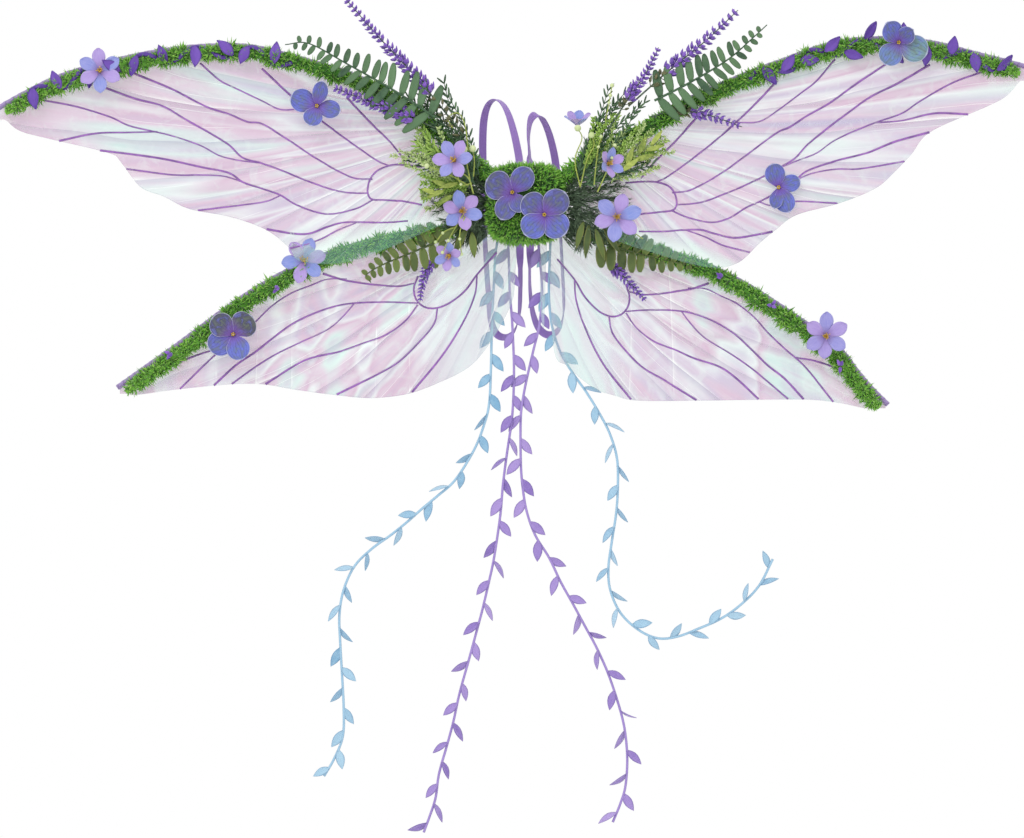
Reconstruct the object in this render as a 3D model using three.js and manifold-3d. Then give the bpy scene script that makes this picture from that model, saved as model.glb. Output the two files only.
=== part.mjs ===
// Fairy wings: four wings of clear film on tape-wrapped wire spars, joined by a hub that two elastic
// arm loops hold against the wearer's back, and dressed with moss, silk flowers and leaf ribbons.
// Millimetres. +Z is up, +X is to the right seen from behind the wearer, and -Y points away from the
// wearer. The origin is the middle of the felt backing's rear face, which rests on the back.
import * as THREE from "three";
import { mergeVertices } from "three/addons/utils/BufferGeometryUtils.js";
import Module from "manifold-3d";

const wasm = await Module();
wasm.setup();

// ---- driving dimensions ----
const GAP = 0.3; // left between pieces that touch
const HINGE_X = 50; // the spars bend here, each side of the hub
const UPPER_Y = -30; // plane of the upper spars at the hub
const LOWER_Y = -8; // plane of the lower spars at the hub, nearer the back
const SWEEP = 45; // how far the wings lean away from the back at SWEEP_REACH
const SWEEP_REACH = 560;
const WIRE_R = 1.5;
const TAPE_INNER_R = 2.0;
const TAPE_OUTER_R = 3.6;
const FILM_T = 1.0;
const MOSS_WIDTH = 26;
const UPPER_MOSS_DEPTH = 11;
const LOWER_MOSS_DEPTH = 10;
const BACKING = { halfWidth: 32, halfHeight: 42, thickness: 3, corner: 12 };
const PAD = { halfWidth: 46, halfHeight: 46, corner: 22, rear: -33.5, front: -47 };
const STRAP_WIDTH = 9;
const STRAP_T = 1.2;
const RIBBON_R = 1.5;

const group = new THREE.Group();
const v3 = (x, y, z) => new THREE.Vector3(x, y, z);

const COLOURS = {
  film: [0xe6cde4, 0.15],
  tape: [0x9a78b8, 0.55],
  wire: [0x9a9aa0, 0.35],
  felt: [0x6d4f8c, 0.95],
  moss: [0x4f8a22, 0.95],
  lilac: [0xb6a0dc, 0.7],
  periwinkle: [0x8f9fdc, 0.7],
  hydrangea: [0x8d90b4, 0.7],
  fern: [0x4f6f3a, 0.7],
  lavender: [0x6a449c, 0.8],
  frosted: [0x9ab46c, 0.85],
  vine: [0x6a44a8, 0.7],
  ribbonBlue: [0x98c8e2, 0.6],
  ribbonPurple: [0xa08cd6, 0.6],
  elastic: [0x9874bc, 0.8],
};

function add(name, geometry, colour) {
  const [color, roughness] = COLOURS[colour];
  const material = new THREE.MeshStandardMaterial({
    color,
    roughness,
    metalness: colour === "wire" ? 0.9 : 0,
  });
  const mesh = new THREE.Mesh(geometry, material);
  mesh.name = name;
  group.add(mesh);
}

// ---- solids ----

// Geometry from points and triangles, turned so that its faces point out.
function geometryOf(points, triangles) {
  let volume = 0;
  for (const [a, b, c] of triangles) {
    volume += points[a].dot(points[b].clone().cross(points[c]));
  }
  const index = triangles.flatMap(([a, b, c]) => (volume < 0 ? [a, c, b] : [a, b, c]));
  const geometry = new THREE.BufferGeometry().setFromPoints(points);
  geometry.setIndex(index);
  geometry.computeVertexNormals();
  return geometry;
}

// Closed solid skinned over a row of convex rings that hold the same number of points.
function skin(rings) {
  const n = rings[0].length;
  const last = (rings.length - 1) * n;
  const triangles = [];
  for (let i = 0; i < last; i += n) {
    for (let j = 0; j < n; j++) {
      const k = (j + 1) % n;
      triangles.push([i + j, i + k, i + n + k], [i + j, i + n + k, i + n + j]);
    }
  }
  for (let j = 1; j + 1 < n; j++) {
    triangles.push([0, j + 1, j], [last, last + j, last + j + 1]);
  }
  return geometryOf(rings.flat(), triangles);
}

// Open-ended pipe between an outer and an inner row of rings.
function pipe(outer, inner) {
  const n = outer[0].length;
  const last = (outer.length - 1) * n;
  const base = outer.length * n;
  const triangles = [];
  for (let j = 0; j < n; j++) {
    const k = (j + 1) % n;
    for (let i = 0; i < last; i += n) {
      triangles.push([i + j, i + k, i + n + k], [i + j, i + n + k, i + n + j]);
      triangles.push([base + i + j, base + i + n + k, base + i + k]);
      triangles.push([base + i + j, base + i + n + j, base + i + n + k]);
    }
    triangles.push([j, base + k, k], [j, base + j, base + k]);
    triangles.push([last + j, last + k, base + last + k], [last + j, base + last + k, base + last + j]);
  }
  return geometryOf([...outer.flat(), ...inner.flat()], triangles);
}

// Stations along a curve. Each has its point, a side direction and a front direction, which stays
// as near to `front` as the curve allows.
function stations(curve, steps, front = v3(0, -1, 0)) {
  return Array.from({ length: steps + 1 }, (_, i) => {
    const u = i / steps;
    const tangent = curve.getTangentAt(u);
    const side = front.clone().cross(tangent).normalize();
    return { u, point: curve.getPointAt(u), side, front: tangent.clone().cross(side) };
  });
}

// Ring of points at a station from a list of [side, front] offsets.
function ringAt(station, offsets) {
  return offsets.map(([s, f]) =>
    station.point.clone().addScaledVector(station.side, s).addScaledVector(station.front, f),
  );
}

function circle(radius, sides) {
  return Array.from({ length: sides }, (_, i) => {
    const angle = (2 * Math.PI * (i + 0.5)) / sides;
    return [radius * Math.cos(angle), radius * Math.sin(angle)];
  });
}

// Rod along a curve whose radius is a function of the way along it.
function rod(curve, steps, sides, radiusAt, flatness = 1) {
  return skin(
    stations(curve, steps).map((s) =>
      ringAt(s, circle(radiusAt(s.u), sides).map(([a, b]) => [a, b * flatness])),
    ),
  );
}

function solidOf(geometry) {
  const bare = new THREE.BufferGeometry();
  bare.setAttribute("position", geometry.getAttribute("position"));
  bare.setIndex(geometry.getIndex());
  const merged = mergeVertices(bare, 1e-4);
  const triVerts = new Uint32Array(merged.index.array);
  const vertProperties = merged.attributes.position.array;
  return new wasm.Manifold(new wasm.Mesh({ numProp: 3, vertProperties, triVerts }));
}

function joined(geometries) {
  const mesh = geometries.map(solidOf).reduce((a, b) => a.add(b)).getMesh();
  const geometry = new THREE.BufferGeometry();
  geometry.setAttribute("position", new THREE.BufferAttribute(mesh.vertProperties, 3));
  geometry.setIndex(new THREE.BufferAttribute(mesh.triVerts, 1));
  geometry.computeVertexNormals();
  return geometry;
}

// Flat plate from a front-view outline, between two depths.
function plate(outline, rear, front) {
  const shape = new THREE.Shape(outline.map(([x, z]) => new THREE.Vector2(x, z)));
  const geometry = new THREE.ExtrudeGeometry(shape, { depth: rear - front, bevelEnabled: false });
  return geometry.rotateX(Math.PI / 2).translate(0, rear, 0);
}

function roundedRectangle(halfWidth, halfHeight, corner, perCorner = 4) {
  const centres = [[1, 1], [-1, 1], [-1, -1], [1, -1]];
  return centres.flatMap(([sx, sz], q) =>
    Array.from({ length: perCorner + 1 }, (_, i) => {
      const angle = (Math.PI / 2) * (q + i / perCorner);
      return [
        sx * (halfWidth - corner) + corner * Math.cos(angle),
        sz * (halfHeight - corner) + corner * Math.sin(angle),
      ];
    }),
  );
}

// ---- wings ----

// Each wing is drawn for its own side: the two sides of a bent-wire frame are never quite alike.
// spar and trailing are front-view points [x, z] from the hub to the tip.
const WINGS = {
  upper_left: {
    side: -1,
    plane: UPPER_Y,
    mossDepth: UPPER_MOSS_DEPTH,
    spar: [[-50.6, 42], [-65, 53], [-100, 87], [-147, 122], [-206, 152], [-264, 169], [-318, 182],
      [-390, 181], [-464, 168], [-546, 143], [-612, 107]],
    trailing: [[-60, -10], [-112, -31], [-155, -50], [-211, -69], [-262, -68], [-277, -50],
      [-304, -30], [-344, -16], [-391, -7], [-420, 7], [-447, 18], [-470, 47], [-483, 57],
      [-551, 73], [-585, 82], [-602, 95]],
    moss: [0.02, 0.955],
  },
  upper_right: {
    side: 1,
    plane: UPPER_Y,
    mossDepth: UPPER_MOSS_DEPTH,
    spar: [[50.6, 34], [88, 64], [135, 89], [194, 123], [264, 153], [311, 170], [358, 186],
      [417, 191], [470, 186], [520, 173], [582, 156]],
    trailing: [[60, -25], [88, -36], [135, -53], [210, -74], [247, -70], [274, -46], [291, -32],
      [316, -14], [367, 0], [408, 17], [429, 35], [449, 56], [471, 82], [536, 111], [558, 123],
      [573, 140]],
    moss: [0.02, 0.965],
  },
  lower_left: {
    side: -1,
    plane: LOWER_Y,
    mossDepth: LOWER_MOSS_DEPTH,
    spar: [[-52.4, -23.1], [-88, -27], [-147, -35], [-217, -53], [-276, -77], [-335, -112],
      [-405, -164], [-476, -215]],
    trailing: [[-50.3, -175], [-69, -193], [-99, -208], [-137, -222], [-181, -227], [-226, -223],
      [-264, -218], [-307, -211], [-344, -211], [-407, -217], [-451, -223], [-466, -222]],
    moss: [0.03, 0.93],
  },
  lower_right: {
    side: 1,
    plane: LOWER_Y,
    mossDepth: LOWER_MOSS_DEPTH,
    spar: [[52.4, -22.2], [88, -32], [135, -46], [206, -68], [250, -89], [310, -127], [369, -171],
      [395, -205], [424, -235]],
    trailing: [[50.3, -190], [80, -215], [105, -224], [133, -230], [206, -230], [271, -229],
      [333, -229], [368, -233], [397, -239], [412, -239]],
    moss: [0.03, 0.95],
  },
};

// Depth of a wing's mid-surface at a distance from the middle.
function planeAt(wing, x) {
  const out = Math.max(0, Math.abs(x) - HINGE_X) / SWEEP_REACH;
  return wing.plane - SWEEP * out * out;
}

function sparCurve(wing) {
  return new THREE.CatmullRomCurve3(wing.spar.map(([x, z]) => v3(x, planeAt(wing, x), z)));
}

// Height of the spar's centreline above a front-view x, and its slope there.
function sparAt(wing, x) {
  const samples = sparCurve(wing).getPoints(240);
  const i = samples.findIndex((p) => Math.abs(p.x) >= Math.abs(x));
  const a = samples[Math.max(0, i - 1)];
  const b = samples[Math.max(1, i)];
  const slope = (b.z - a.z) / (b.x - a.x);
  return { z: a.z + slope * (x - a.x), slope };
}

// Film below the spar, thin and swept back, with the tape's edge just above it.
function filmGeometry(wing) {
  const rows = 2;
  const rings = wing.trailing.map(([x, low]) => {
    const { z, slope } = sparAt(wing, x);
    const high = z - (TAPE_OUTER_R + GAP) * Math.hypot(1, slope) - 0.8;
    const y = planeAt(wing, x);
    const heights = Array.from({ length: rows + 1 }, (_, i) => high + ((low - high) * i) / rows);
    const front = heights.map((h) => v3(x, y - FILM_T / 2, h));
    const rear = heights.reverse().map((h) => v3(x, y + FILM_T / 2, h));
    return [...front, ...rear];
  });
  return skin(rings);
}

const SPAR_STEPS = 16;

function addWing(name, wing) {
  const curve = sparCurve(wing);
  const along = stations(curve, SPAR_STEPS);
  const ring = (radius) => along.map((s) => ringAt(s, circle(radius, 6)));
  add(`${name}_spar_wire`, skin(ring(WIRE_R)), "wire");
  add(`${name}_spar_tape`, pipe(ring(TAPE_OUTER_R), ring(TAPE_INNER_R)), "tape");
  add(`${name}_film`, filmGeometry(wing), "film");
  add(`${name}_moss_garland`, garlandGeometry(wing, curve), "moss");
}

// Moss garland on the spar's front, half round in section and tapered at both ends.
function garlandGeometry(wing, curve) {
  const [start, end] = wing.moss;
  const rear = TAPE_OUTER_R + 2 * GAP;
  const rings = Array.from({ length: SPAR_STEPS + 1 }, (_, i) => {
    const u = start + ((end - start) * i) / SPAR_STEPS;
    const fullness = Math.min(1, 0.45 + 6 * Math.min(u - start, end - u));
    const tangent = curve.getTangentAt(u);
    const side = v3(0, -1, 0).cross(tangent).normalize();
    const station = { point: curve.getPointAt(u), side, front: tangent.cross(side) };
    const arc = Array.from({ length: 7 }, (_, j) => {
      const angle = (Math.PI * j) / 6;
      return [
        (MOSS_WIDTH / 2) * fullness * Math.cos(angle),
        rear + wing.mossDepth * fullness * Math.sin(angle),
      ];
    });
    return ringAt(station, arc);
  });
  return skin(rings);
}

// ---- flowers and greenery ----

// Curve in front of a wing from points [x, z, lift], where lift is the distance in front of its plane.
function curveOn(wing, points) {
  return new THREE.CatmullRomCurve3(
    points.map(([x, z, lift]) => v3(x, planeAt(wing, x) - lift, z)),
  );
}

// Silk flower: a lobed disc, dished so that its petal tips reach forward.
// face is the way it looks, and turn spins it about that.
function blossom({ petals, radius, at, face = [0, -1, 0], turn = 0, dish = 5, thickness = 2.4 }) {
  const points = 6 * petals;
  const outline = Array.from({ length: points }, (_, i) => {
    const angle = (2 * Math.PI * i) / points;
    const lobe = Math.abs(Math.cos((petals * angle) / 2));
    const reach = radius * (0.5 + 0.5 * Math.sqrt(lobe));
    return [reach * Math.cos(angle), reach * Math.sin(angle)];
  });
  const lift = (x, z) => dish * ((x * x + z * z) / (radius * radius));
  const layer = (depth) => outline.map(([x, z]) => v3(x, -depth - lift(x, z), z));
  const all = [...layer(thickness), ...layer(0), v3(0, -thickness, 0), v3(0, 0, 0)];
  const triangles = [];
  for (let i = 0; i < points; i++) {
    const k = (i + 1) % points;
    triangles.push([2 * points, i, k], [2 * points + 1, points + k, points + i]);
    triangles.push([i, points + i, points + k], [i, points + k, k]);
  }
  const aim = new THREE.Quaternion().setFromUnitVectors(v3(0, -1, 0), v3(...face).normalize());
  return geometryOf(all, triangles)
    .rotateY(turn)
    .applyQuaternion(aim)
    .translate(...at);
}

// One leaf as a thin lens-shaped plate from a stem point, along a front-view angle.
function leaf(base, angle, length, width, thickness = 1.2) {
  const along = v3(Math.cos(angle), 0, Math.sin(angle));
  const across = v3(-Math.sin(angle), 0, Math.cos(angle));
  const widths = [[-0.06, 0.3], [0.45, 1], [1, 0.12]];
  const rings = widths.map(([u, w]) =>
    [[1, -1], [-1, -1], [-1, 1], [1, 1]].map(([s, t]) =>
      base.clone()
        .addScaledVector(along, length * u)
        .addScaledVector(across, (s * w * width) / 2)
        .add(v3(0, (t * thickness) / 2, 0)),
    ),
  );
  return skin(rings);
}

// Fern frond: a stem with pairs of leaves that shorten towards its tip.
function fern(wing, points, { pairs, longest, width }) {
  const curve = curveOn(wing, points);
  const parts = [rod(curve, 10, 5, (u) => 1.6 - 0.9 * u)];
  for (let i = 0; i < pairs; i++) {
    const u = 0.12 + (0.78 * i) / pairs;
    const base = curve.getPointAt(u);
    const tangent = curve.getTangentAt(u);
    const heading = Math.atan2(tangent.z, tangent.x);
    const length = longest * (1 - 0.85 * u);
    for (const sign of [-1, 1]) {
      parts.push(leaf(base, heading + sign * 1.15, length, width * (1 - 0.6 * u)));
    }
  }
  return joined(parts);
}

// Lavender: a thin stem that swells into rows of buds.
function lavender(wing, points, { headFrom = 0.35, headRadius = 4.2 } = {}) {
  const radiusAt = (u) => {
    if (u < headFrom) return 0.9;
    const way = (u - headFrom) / (1 - headFrom);
    const bulge = headRadius * (1 - 0.65 * way);
    return bulge * (0.72 + 0.28 * Math.cos(way * 6 * 2 * Math.PI));
  };
  return rod(curveOn(wing, points), 14, 6, radiusAt);
}

// Frosted grass: one flattened plume.
function plume(wing, points, radius) {
  const radiusAt = (u) => 1 + radius * Math.sin(Math.PI * Math.min(0.97, 0.1 + 0.87 * u));
  return rod(curveOn(wing, points), 8, 6, radiusAt, 0.4);
}

// Leaf vine: a stem that weaves over the garland, with leaves to both sides.
function vine(wing, { from, to, turns, leaves }) {
  const spar = sparCurve(wing);
  const steps = 5 * turns;
  const lift = TAPE_OUTER_R + wing.mossDepth + 3;
  const points = Array.from({ length: steps + 1 }, (_, i) => {
    const p = spar.getPointAt(from + ((to - from) * i) / steps);
    const weave = 8 * Math.sin((2 * Math.PI * turns * i) / steps);
    return v3(p.x, p.y - lift, p.z + weave);
  });
  const curve = new THREE.CatmullRomCurve3(points);
  const parts = [rod(curve, steps, 4, () => 1.1)];
  for (let i = 0; i < leaves; i++) {
    const u = (i + 0.5) / leaves;
    const angle = (i % 2 ? -1 : 1) * 1.1 + (wing.side < 0 ? Math.PI : 0);
    parts.push(leaf(curve.getPointAt(u), angle, 24, 11));
  }
  return joined(parts);
}

// A point at a front-view place, lifted off a wing's plane.
const on = (wing, x, z, lift) => [x, planeAt(wing, x) - lift, z];

function dressUpperLeft(wing) {
  add("upper_left_leaf_vine", vine(wing, { from: 0.42, to: 0.95, turns: 5, leaves: 9 }), "vine");
  add("upper_left_tip_flower",
    blossom({ petals: 6, radius: 25, at: on(wing, -497, 158, 20), turn: 0.3 }), "periwinkle");
  add("upper_left_hydrangea",
    blossom({ petals: 4, radius: 30, at: on(wing, -242, 112, 20), turn: 0.7 }), "hydrangea");
  add("upper_left_fern", fern(wing,
    [[-104, 98, 33], [-150, 128, 37], [-205, 159, 39], [-250, 183, 38], [-278, 182, 36]],
    { pairs: 8, longest: 42, width: 12 }), "fern");
  add("upper_left_long_lavender", lavender(wing,
    [[-70, 76, 24], [-120, 138, 27], [-170, 192, 27], [-209, 237, 26]]), "lavender");
  add("upper_left_short_lavender", lavender(wing,
    [[-98, 84, 24], [-150, 106, 29], [-190, 120, 32], [-222, 133, 33]]), "lavender");
  add("upper_left_frosted_grass", plume(wing,
    [[-82, 26, 24], [-105, 48, 26], [-128, 66, 26], [-146, 84, 25]], 12), "frosted");
  add("upper_left_root_flower_high",
    blossom({ petals: 6, radius: 24, at: on(wing, -88, 52, 38), turn: 0.2 }), "lilac");
  add("upper_left_root_flower_low",
    blossom({ petals: 6, radius: 24, at: on(wing, -78, -10, 18), turn: 0.5 }), "lilac");
}

function dressUpperRight(wing) {
  add("upper_right_leaf_vine", vine(wing, { from: 0.42, to: 0.97, turns: 5, leaves: 9 }), "vine");
  add("upper_right_tip_hydrangea",
    blossom({ petals: 4, radius: 28, at: on(wing, 432, 184, 24), turn: 0.2 }), "hydrangea");
  add("upper_right_film_hydrangea",
    blossom({ petals: 4, radius: 30, at: on(wing, 295, 18, 6), turn: 0.7 }), "hydrangea");
  add("upper_right_fern", fern(wing,
    [[150, 118, 31], [190, 138, 36], [235, 165, 38], [266, 192, 37], [280, 205, 35]],
    { pairs: 8, longest: 38, width: 11 }), "fern");
  add("upper_right_long_lavender", lavender(wing,
    [[120, 112, 24], [168, 154, 27], [210, 188, 27], [247, 223, 26]]), "lavender");
  add("upper_right_short_lavender", lavender(wing,
    [[92, 78, 24], [118, 118, 27], [140, 150, 27], [155, 180, 26]]), "lavender");
  add("upper_right_low_lavender", lavender(wing,
    [[146, 100, 16], [176, 107, 18], [215, 101, 19], [252, 88, 18]]), "lavender");
  add("upper_right_frosted_grass", plume(wing,
    [[100, 28, 24], [120, 46, 26], [142, 62, 26], [162, 78, 25]], 12), "frosted");
  add("upper_right_stem_flower",
    blossom({ petals: 6, radius: 22, at: on(wing, 66, 98, 24), face: [-0.5, -0.6, 0.6] }), "lilac");
  add("upper_right_side_flower",
    blossom({ petals: 6, radius: 20, at: on(wing, 92, 44, 40), face: [0.6, -0.8, 0.1] }), "lilac");
  add("upper_right_root_flower",
    blossom({ petals: 6, radius: 27, at: on(wing, 106, -10, 24), turn: 0.4 }), "periwinkle");
}

function dressLowerLeft(wing) {
  add("lower_left_corner_flower",
    blossom({ petals: 6, radius: 25, at: on(wing, -258, -66, 15), dish: 3, thickness: 2 }), "lilac");
  add("lower_left_hydrangea",
    blossom({ petals: 4, radius: 29, at: on(wing, -340, -153, 22), turn: 0.7 }), "hydrangea");
  add("lower_left_fern", fern(wing,
    [[-92, -40, 17], [-130, -56, 17], [-168, -72, 17], [-186, -84, 17], [-180, -92, 17]],
    { pairs: 7, longest: 34, width: 10 }), "fern");
  add("lower_left_lavender", lavender(wing,
    [[-104, -62, 11], [-116, -80, 12], [-121, -98, 12], [-123, -114, 12]], { headRadius: 3.6 }),
    "lavender");
}

function dressLowerRight(wing) {
  add("lower_right_garland_flower",
    blossom({ petals: 6, radius: 26, at: on(wing, 350, -155, 22), turn: 0.4 }), "lilac");
  add("lower_right_fern", fern(wing,
    [[84, -44, 17], [125, -56, 17], [165, -66, 17], [205, -74, 17]],
    { pairs: 7, longest: 38, width: 11 }), "fern");
  add("lower_right_lavender", lavender(wing,
    [[96, -66, 11], [112, -82, 12], [128, -98, 12], [141, -113, 12]], { headRadius: 3.6 }),
    "lavender");
}

// ---- hub ----

const YOKES = {
  upper_yoke: [[-49.4, -30, 41.6], [-30, -27, 24], [-12, -24, 8], [0, -24, 6], [12, -24, 8],
    [30, -27, 20], [49.4, -30, 33.6]],
  lower_yoke: [[-49.4, -8, -22.9], [-30, -10, -16], [-12, -12, -8], [0, -12, -7], [12, -12, -8],
    [30, -10, -16], [49.4, -8, -21.9]],
};
const YOKE_R = 3;
const BINDING = { halfLength: 9, y: [-6.4, -29.6], z: 16, wall: 2 };

function addHub() {
  const b = BACKING;
  add("felt_backing", plate(roundedRectangle(b.halfWidth, b.halfHeight, b.corner), 0, -b.thickness),
    "felt");
  for (const [name, points] of Object.entries(YOKES)) {
    const curve = new THREE.CatmullRomCurve3(points.map((p) => v3(...p)));
    add(name, rod(curve, 12, 8, () => YOKE_R), "tape");
  }
  add("frame_binding", bindingGeometry(), "tape");
  add("moss_pad", padGeometry(), "moss");
  add("centre_hydrangea_left",
    blossom({ petals: 4, radius: 30, at: [-15, -49, 12], turn: 0.75, dish: 6 }), "hydrangea");
  add("centre_hydrangea_right",
    blossom({ petals: 4, radius: 26, at: [22, -54.5, -14], turn: 0.3, dish: 6 }), "hydrangea");
  add("lower_left_film_root", plate(
    [[-49.7, -30], [-9, -32], [-10, -60], [-13, -107], [-31, -146], [-49.7, -174.6]],
    LOWER_Y + FILM_T / 2, LOWER_Y - FILM_T / 2), "film");
  add("lower_right_film_root", plate(
    [[49.7, -30], [49.7, -189.6], [33, -166], [22, -150], [17.6, -112], [21, -70], [27, -32]],
    LOWER_Y + FILM_T / 2, LOWER_Y - FILM_T / 2), "film");
}

// Tape wound round both yokes, as a short open sleeve along X.
function bindingGeometry() {
  const { halfLength, y, z, wall } = BINDING;
  const ring = (x, inset) => {
    const corners = [[y[0] - inset, z - inset], [y[1] + inset, z - inset],
      [y[1] + inset, inset - z], [y[0] - inset, inset - z]];
    return corners.map(([cy, cz]) => v3(x, cy, cz));
  };
  const ends = [-halfLength, halfLength];
  return pipe(ends.map((x) => ring(x, 0)), ends.map((x) => ring(x, wall)));
}

// Moss pad with a domed front.
function padGeometry() {
  const { halfWidth, halfHeight, corner, rear, front } = PAD;
  const levels = [[1, rear], [1, rear - 8], [0.9, front + 2], [0.7, front]];
  return skin(levels.map(([scale, y]) =>
    roundedRectangle(halfWidth * scale, halfHeight * scale, corner * scale)
      .map(([x, z]) => v3(x, y, z))));
}

// ---- elastic arm loops ----

// Each loop starts between the backing and the frame, goes over the shoulder and under the arm.
const LEFT_LOOP = [[-6, -4.4, 32], [-6, -4.4, 44], [-6.5, -2, 49], [-7, 3, 55], [-9, 9, 67], [-13, 17, 86],
  [-19, 26, 107], [-26, 34, 121], [-35, 42, 127], [-43, 50, 122], [-48, 57, 108], [-50, 64, 86],
  [-50, 70, 50], [-49, 73, 0], [-47, 70, -50], [-44, 64, -95], [-41, 54, -130], [-35, 44, -149],
  [-24, 34, -155], [-13, 25, -148], [-7, 17, -130], [-5.5, 9, -100], [-5.5, 4, -75],
  [-6, 1.5, -56], [-6, -2, -49], [-6, -4.4, -44], [-6, -4.4, -32]];
const RIGHT_LOOP = [[6, -4.4, 32], [6, -4.4, 44], [5.8, -2, 49], [5.5, 3, 55], [5, 9, 66], [4, 16, 78],
  [4.5, 23, 91], [7, 30, 103], [13, 37, 109], [20, 45, 105], [27, 53, 92], [33, 61, 72], [37, 67, 50],
  [40, 71, 15], [42, 71, -20], [44, 68, -60], [46, 62, -100], [46, 54, -125], [42, 46, -142],
  [34, 38, -151], [24, 31, -151], [15, 24, -142], [9, 16, -125], [6, 9, -100], [5.5, 4, -75],
  [6, 1.5, -56], [6, -2, -49], [6, -4.4, -44], [6, -4.4, -32]];
const LOOP_MIDDLE = { y: 35, z: -10 };

// Flat band along a loop, its face turned towards the loop's middle.
function strapGeometry(points) {
  const curve = new THREE.CatmullRomCurve3(points.map((p) => v3(...p)));
  const steps = 44;
  const rings = Array.from({ length: steps + 1 }, (_, i) => {
    const point = curve.getPointAt(i / steps);
    const tangent = curve.getTangentAt(i / steps);
    const out = v3(0, point.y - LOOP_MIDDLE.y, point.z - LOOP_MIDDLE.z);
    const across = out.cross(tangent).normalize();
    const face = tangent.clone().cross(across);
    const corners = [[1, 1], [-1, 1], [-1, -1], [1, -1]];
    return corners.map(([a, f]) =>
      point.clone()
        .addScaledVector(across, (a * STRAP_WIDTH) / 2)
        .addScaledVector(face, (f * STRAP_T) / 2));
  });
  return skin(rings);
}

// ---- leaf ribbons: the stems that the die-cut leaves sit on ----

const RIBBONS = {
  outer_left_ribbon: ["ribbonBlue", [
    [-32, -40], [-35, -62], [-37, -100], [-39, -147], [-40, -190], [-42, -232], [-48, -258],
    [-60, -288], [-82, -323], [-103, -342], [-120, -356], [-138, -372], [-158, -388], [-180, -404],
    [-200, -424], [-213, -452], [-218, -482], [-217, -515], [-215, -551], [-213, -590],
    [-214, -624], [-224, -650], [-236, -671]]],
  inner_left_ribbon: ["ribbonPurple", [
    [-20, -40], [-19, -66], [-18, -101], [-15, -140], [-13, -195], [-15, -247], [-21, -290],
    [-26, -329], [-29, -364], [-36, -412], [-42, -441], [-50, -475], [-58, -505], [-67, -538],
    [-77, -574], [-84, -606], [-92, -636], [-101, -668], [-105, -696], [-112, -718], [-119, -737]]],
  inner_right_ribbon: ["ribbonPurple", [
    [15, -40], [18, -70], [20, -102], [17, -140], [10, -170], [3, -200], [-2, -225], [-5, -250],
    [-5, -300], [-3, -330], [2, -360], [12, -388], [28, -414], [42, -443], [57, -470], [71, -496],
    [84, -520], [97, -549], [109, -584], [117, -616], [120, -650], [118, -682], [112, -703],
    [103, -725]]],
  outer_right_ribbon: ["ribbonBlue", [
    [30, -40], [29, -66], [28, -95], [29, -122], [33, -148], [43, -176], [57, -199], [72, -220],
    [88, -246], [100, -270], [108, -298], [109, -331], [107, -362], [102, -395], [98, -425],
    [100, -452], [112, -479], [133, -499], [156, -509], [179, -507], [203, -498], [230, -486],
    [254, -469], [275, -447], [291, -416]]],
};
const RIBBON_STEPS = 40;

// A ribbon leaves the gap between backing and lower film, then hangs a little behind the film.
const ribbonDepth = (z) => -2.8 - 2.4 * Math.max(0, 1 + (z + 40) / 60);

function ribbonGeometry(points) {
  const route = points.map(([x, z]) => v3(x, ribbonDepth(z), z));
  const path = new THREE.CatmullRomCurve3(route, false, "catmullrom", 0.5);
  const section = new THREE.Shape(circle(RIBBON_R, 8).map(([x, y]) => new THREE.Vector2(x, y)));
  return new THREE.ExtrudeGeometry(section, { steps: RIBBON_STEPS, extrudePath: path });
}

// ---- assembly ----

addHub();
for (const [name, wing] of Object.entries(WINGS)) addWing(name, wing);
dressUpperLeft(WINGS.upper_left);
dressUpperRight(WINGS.upper_right);
dressLowerLeft(WINGS.lower_left);
dressLowerRight(WINGS.lower_right);
add("left_arm_strap", strapGeometry(LEFT_LOOP), "elastic");
add("right_arm_strap", strapGeometry(RIGHT_LOOP), "elastic");
for (const [name, [colour, points]] of Object.entries(RIBBONS)) {
  add(name, ribbonGeometry(points), colour);
}

export default group;
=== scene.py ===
"""Fairy wings: film, moss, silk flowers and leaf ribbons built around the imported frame.

Metres, in the frame of the CAD: +Z up, +X right seen from behind the wearer, -Y away from the
wearer's back. Each wing is worked out in its own coordinates: s runs from hub to tip, and t from
the spar to the trailing edge.
"""
import math

import bpy
import numpy as np
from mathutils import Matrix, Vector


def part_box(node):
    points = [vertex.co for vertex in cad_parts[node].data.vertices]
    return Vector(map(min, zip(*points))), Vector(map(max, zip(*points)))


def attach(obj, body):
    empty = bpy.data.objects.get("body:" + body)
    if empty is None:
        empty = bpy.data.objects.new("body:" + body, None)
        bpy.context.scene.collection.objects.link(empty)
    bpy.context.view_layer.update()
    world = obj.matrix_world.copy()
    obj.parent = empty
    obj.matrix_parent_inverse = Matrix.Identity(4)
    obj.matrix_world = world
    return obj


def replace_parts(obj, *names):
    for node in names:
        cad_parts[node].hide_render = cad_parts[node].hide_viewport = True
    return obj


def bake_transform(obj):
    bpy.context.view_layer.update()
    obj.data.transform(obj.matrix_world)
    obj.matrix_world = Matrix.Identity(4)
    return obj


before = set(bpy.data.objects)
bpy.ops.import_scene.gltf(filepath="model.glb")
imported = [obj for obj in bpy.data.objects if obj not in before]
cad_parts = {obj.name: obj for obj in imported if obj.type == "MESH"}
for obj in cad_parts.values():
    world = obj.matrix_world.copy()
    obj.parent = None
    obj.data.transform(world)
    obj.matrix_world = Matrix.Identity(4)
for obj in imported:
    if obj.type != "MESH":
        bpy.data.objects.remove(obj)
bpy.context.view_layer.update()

MM = 0.001
FRONT = np.array([0.0, -1.0, 0.0])
ROUNDING = 3.4           # power of the rounded square that the moss pad is drawn with
rng = np.random.default_rng(11)


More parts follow.
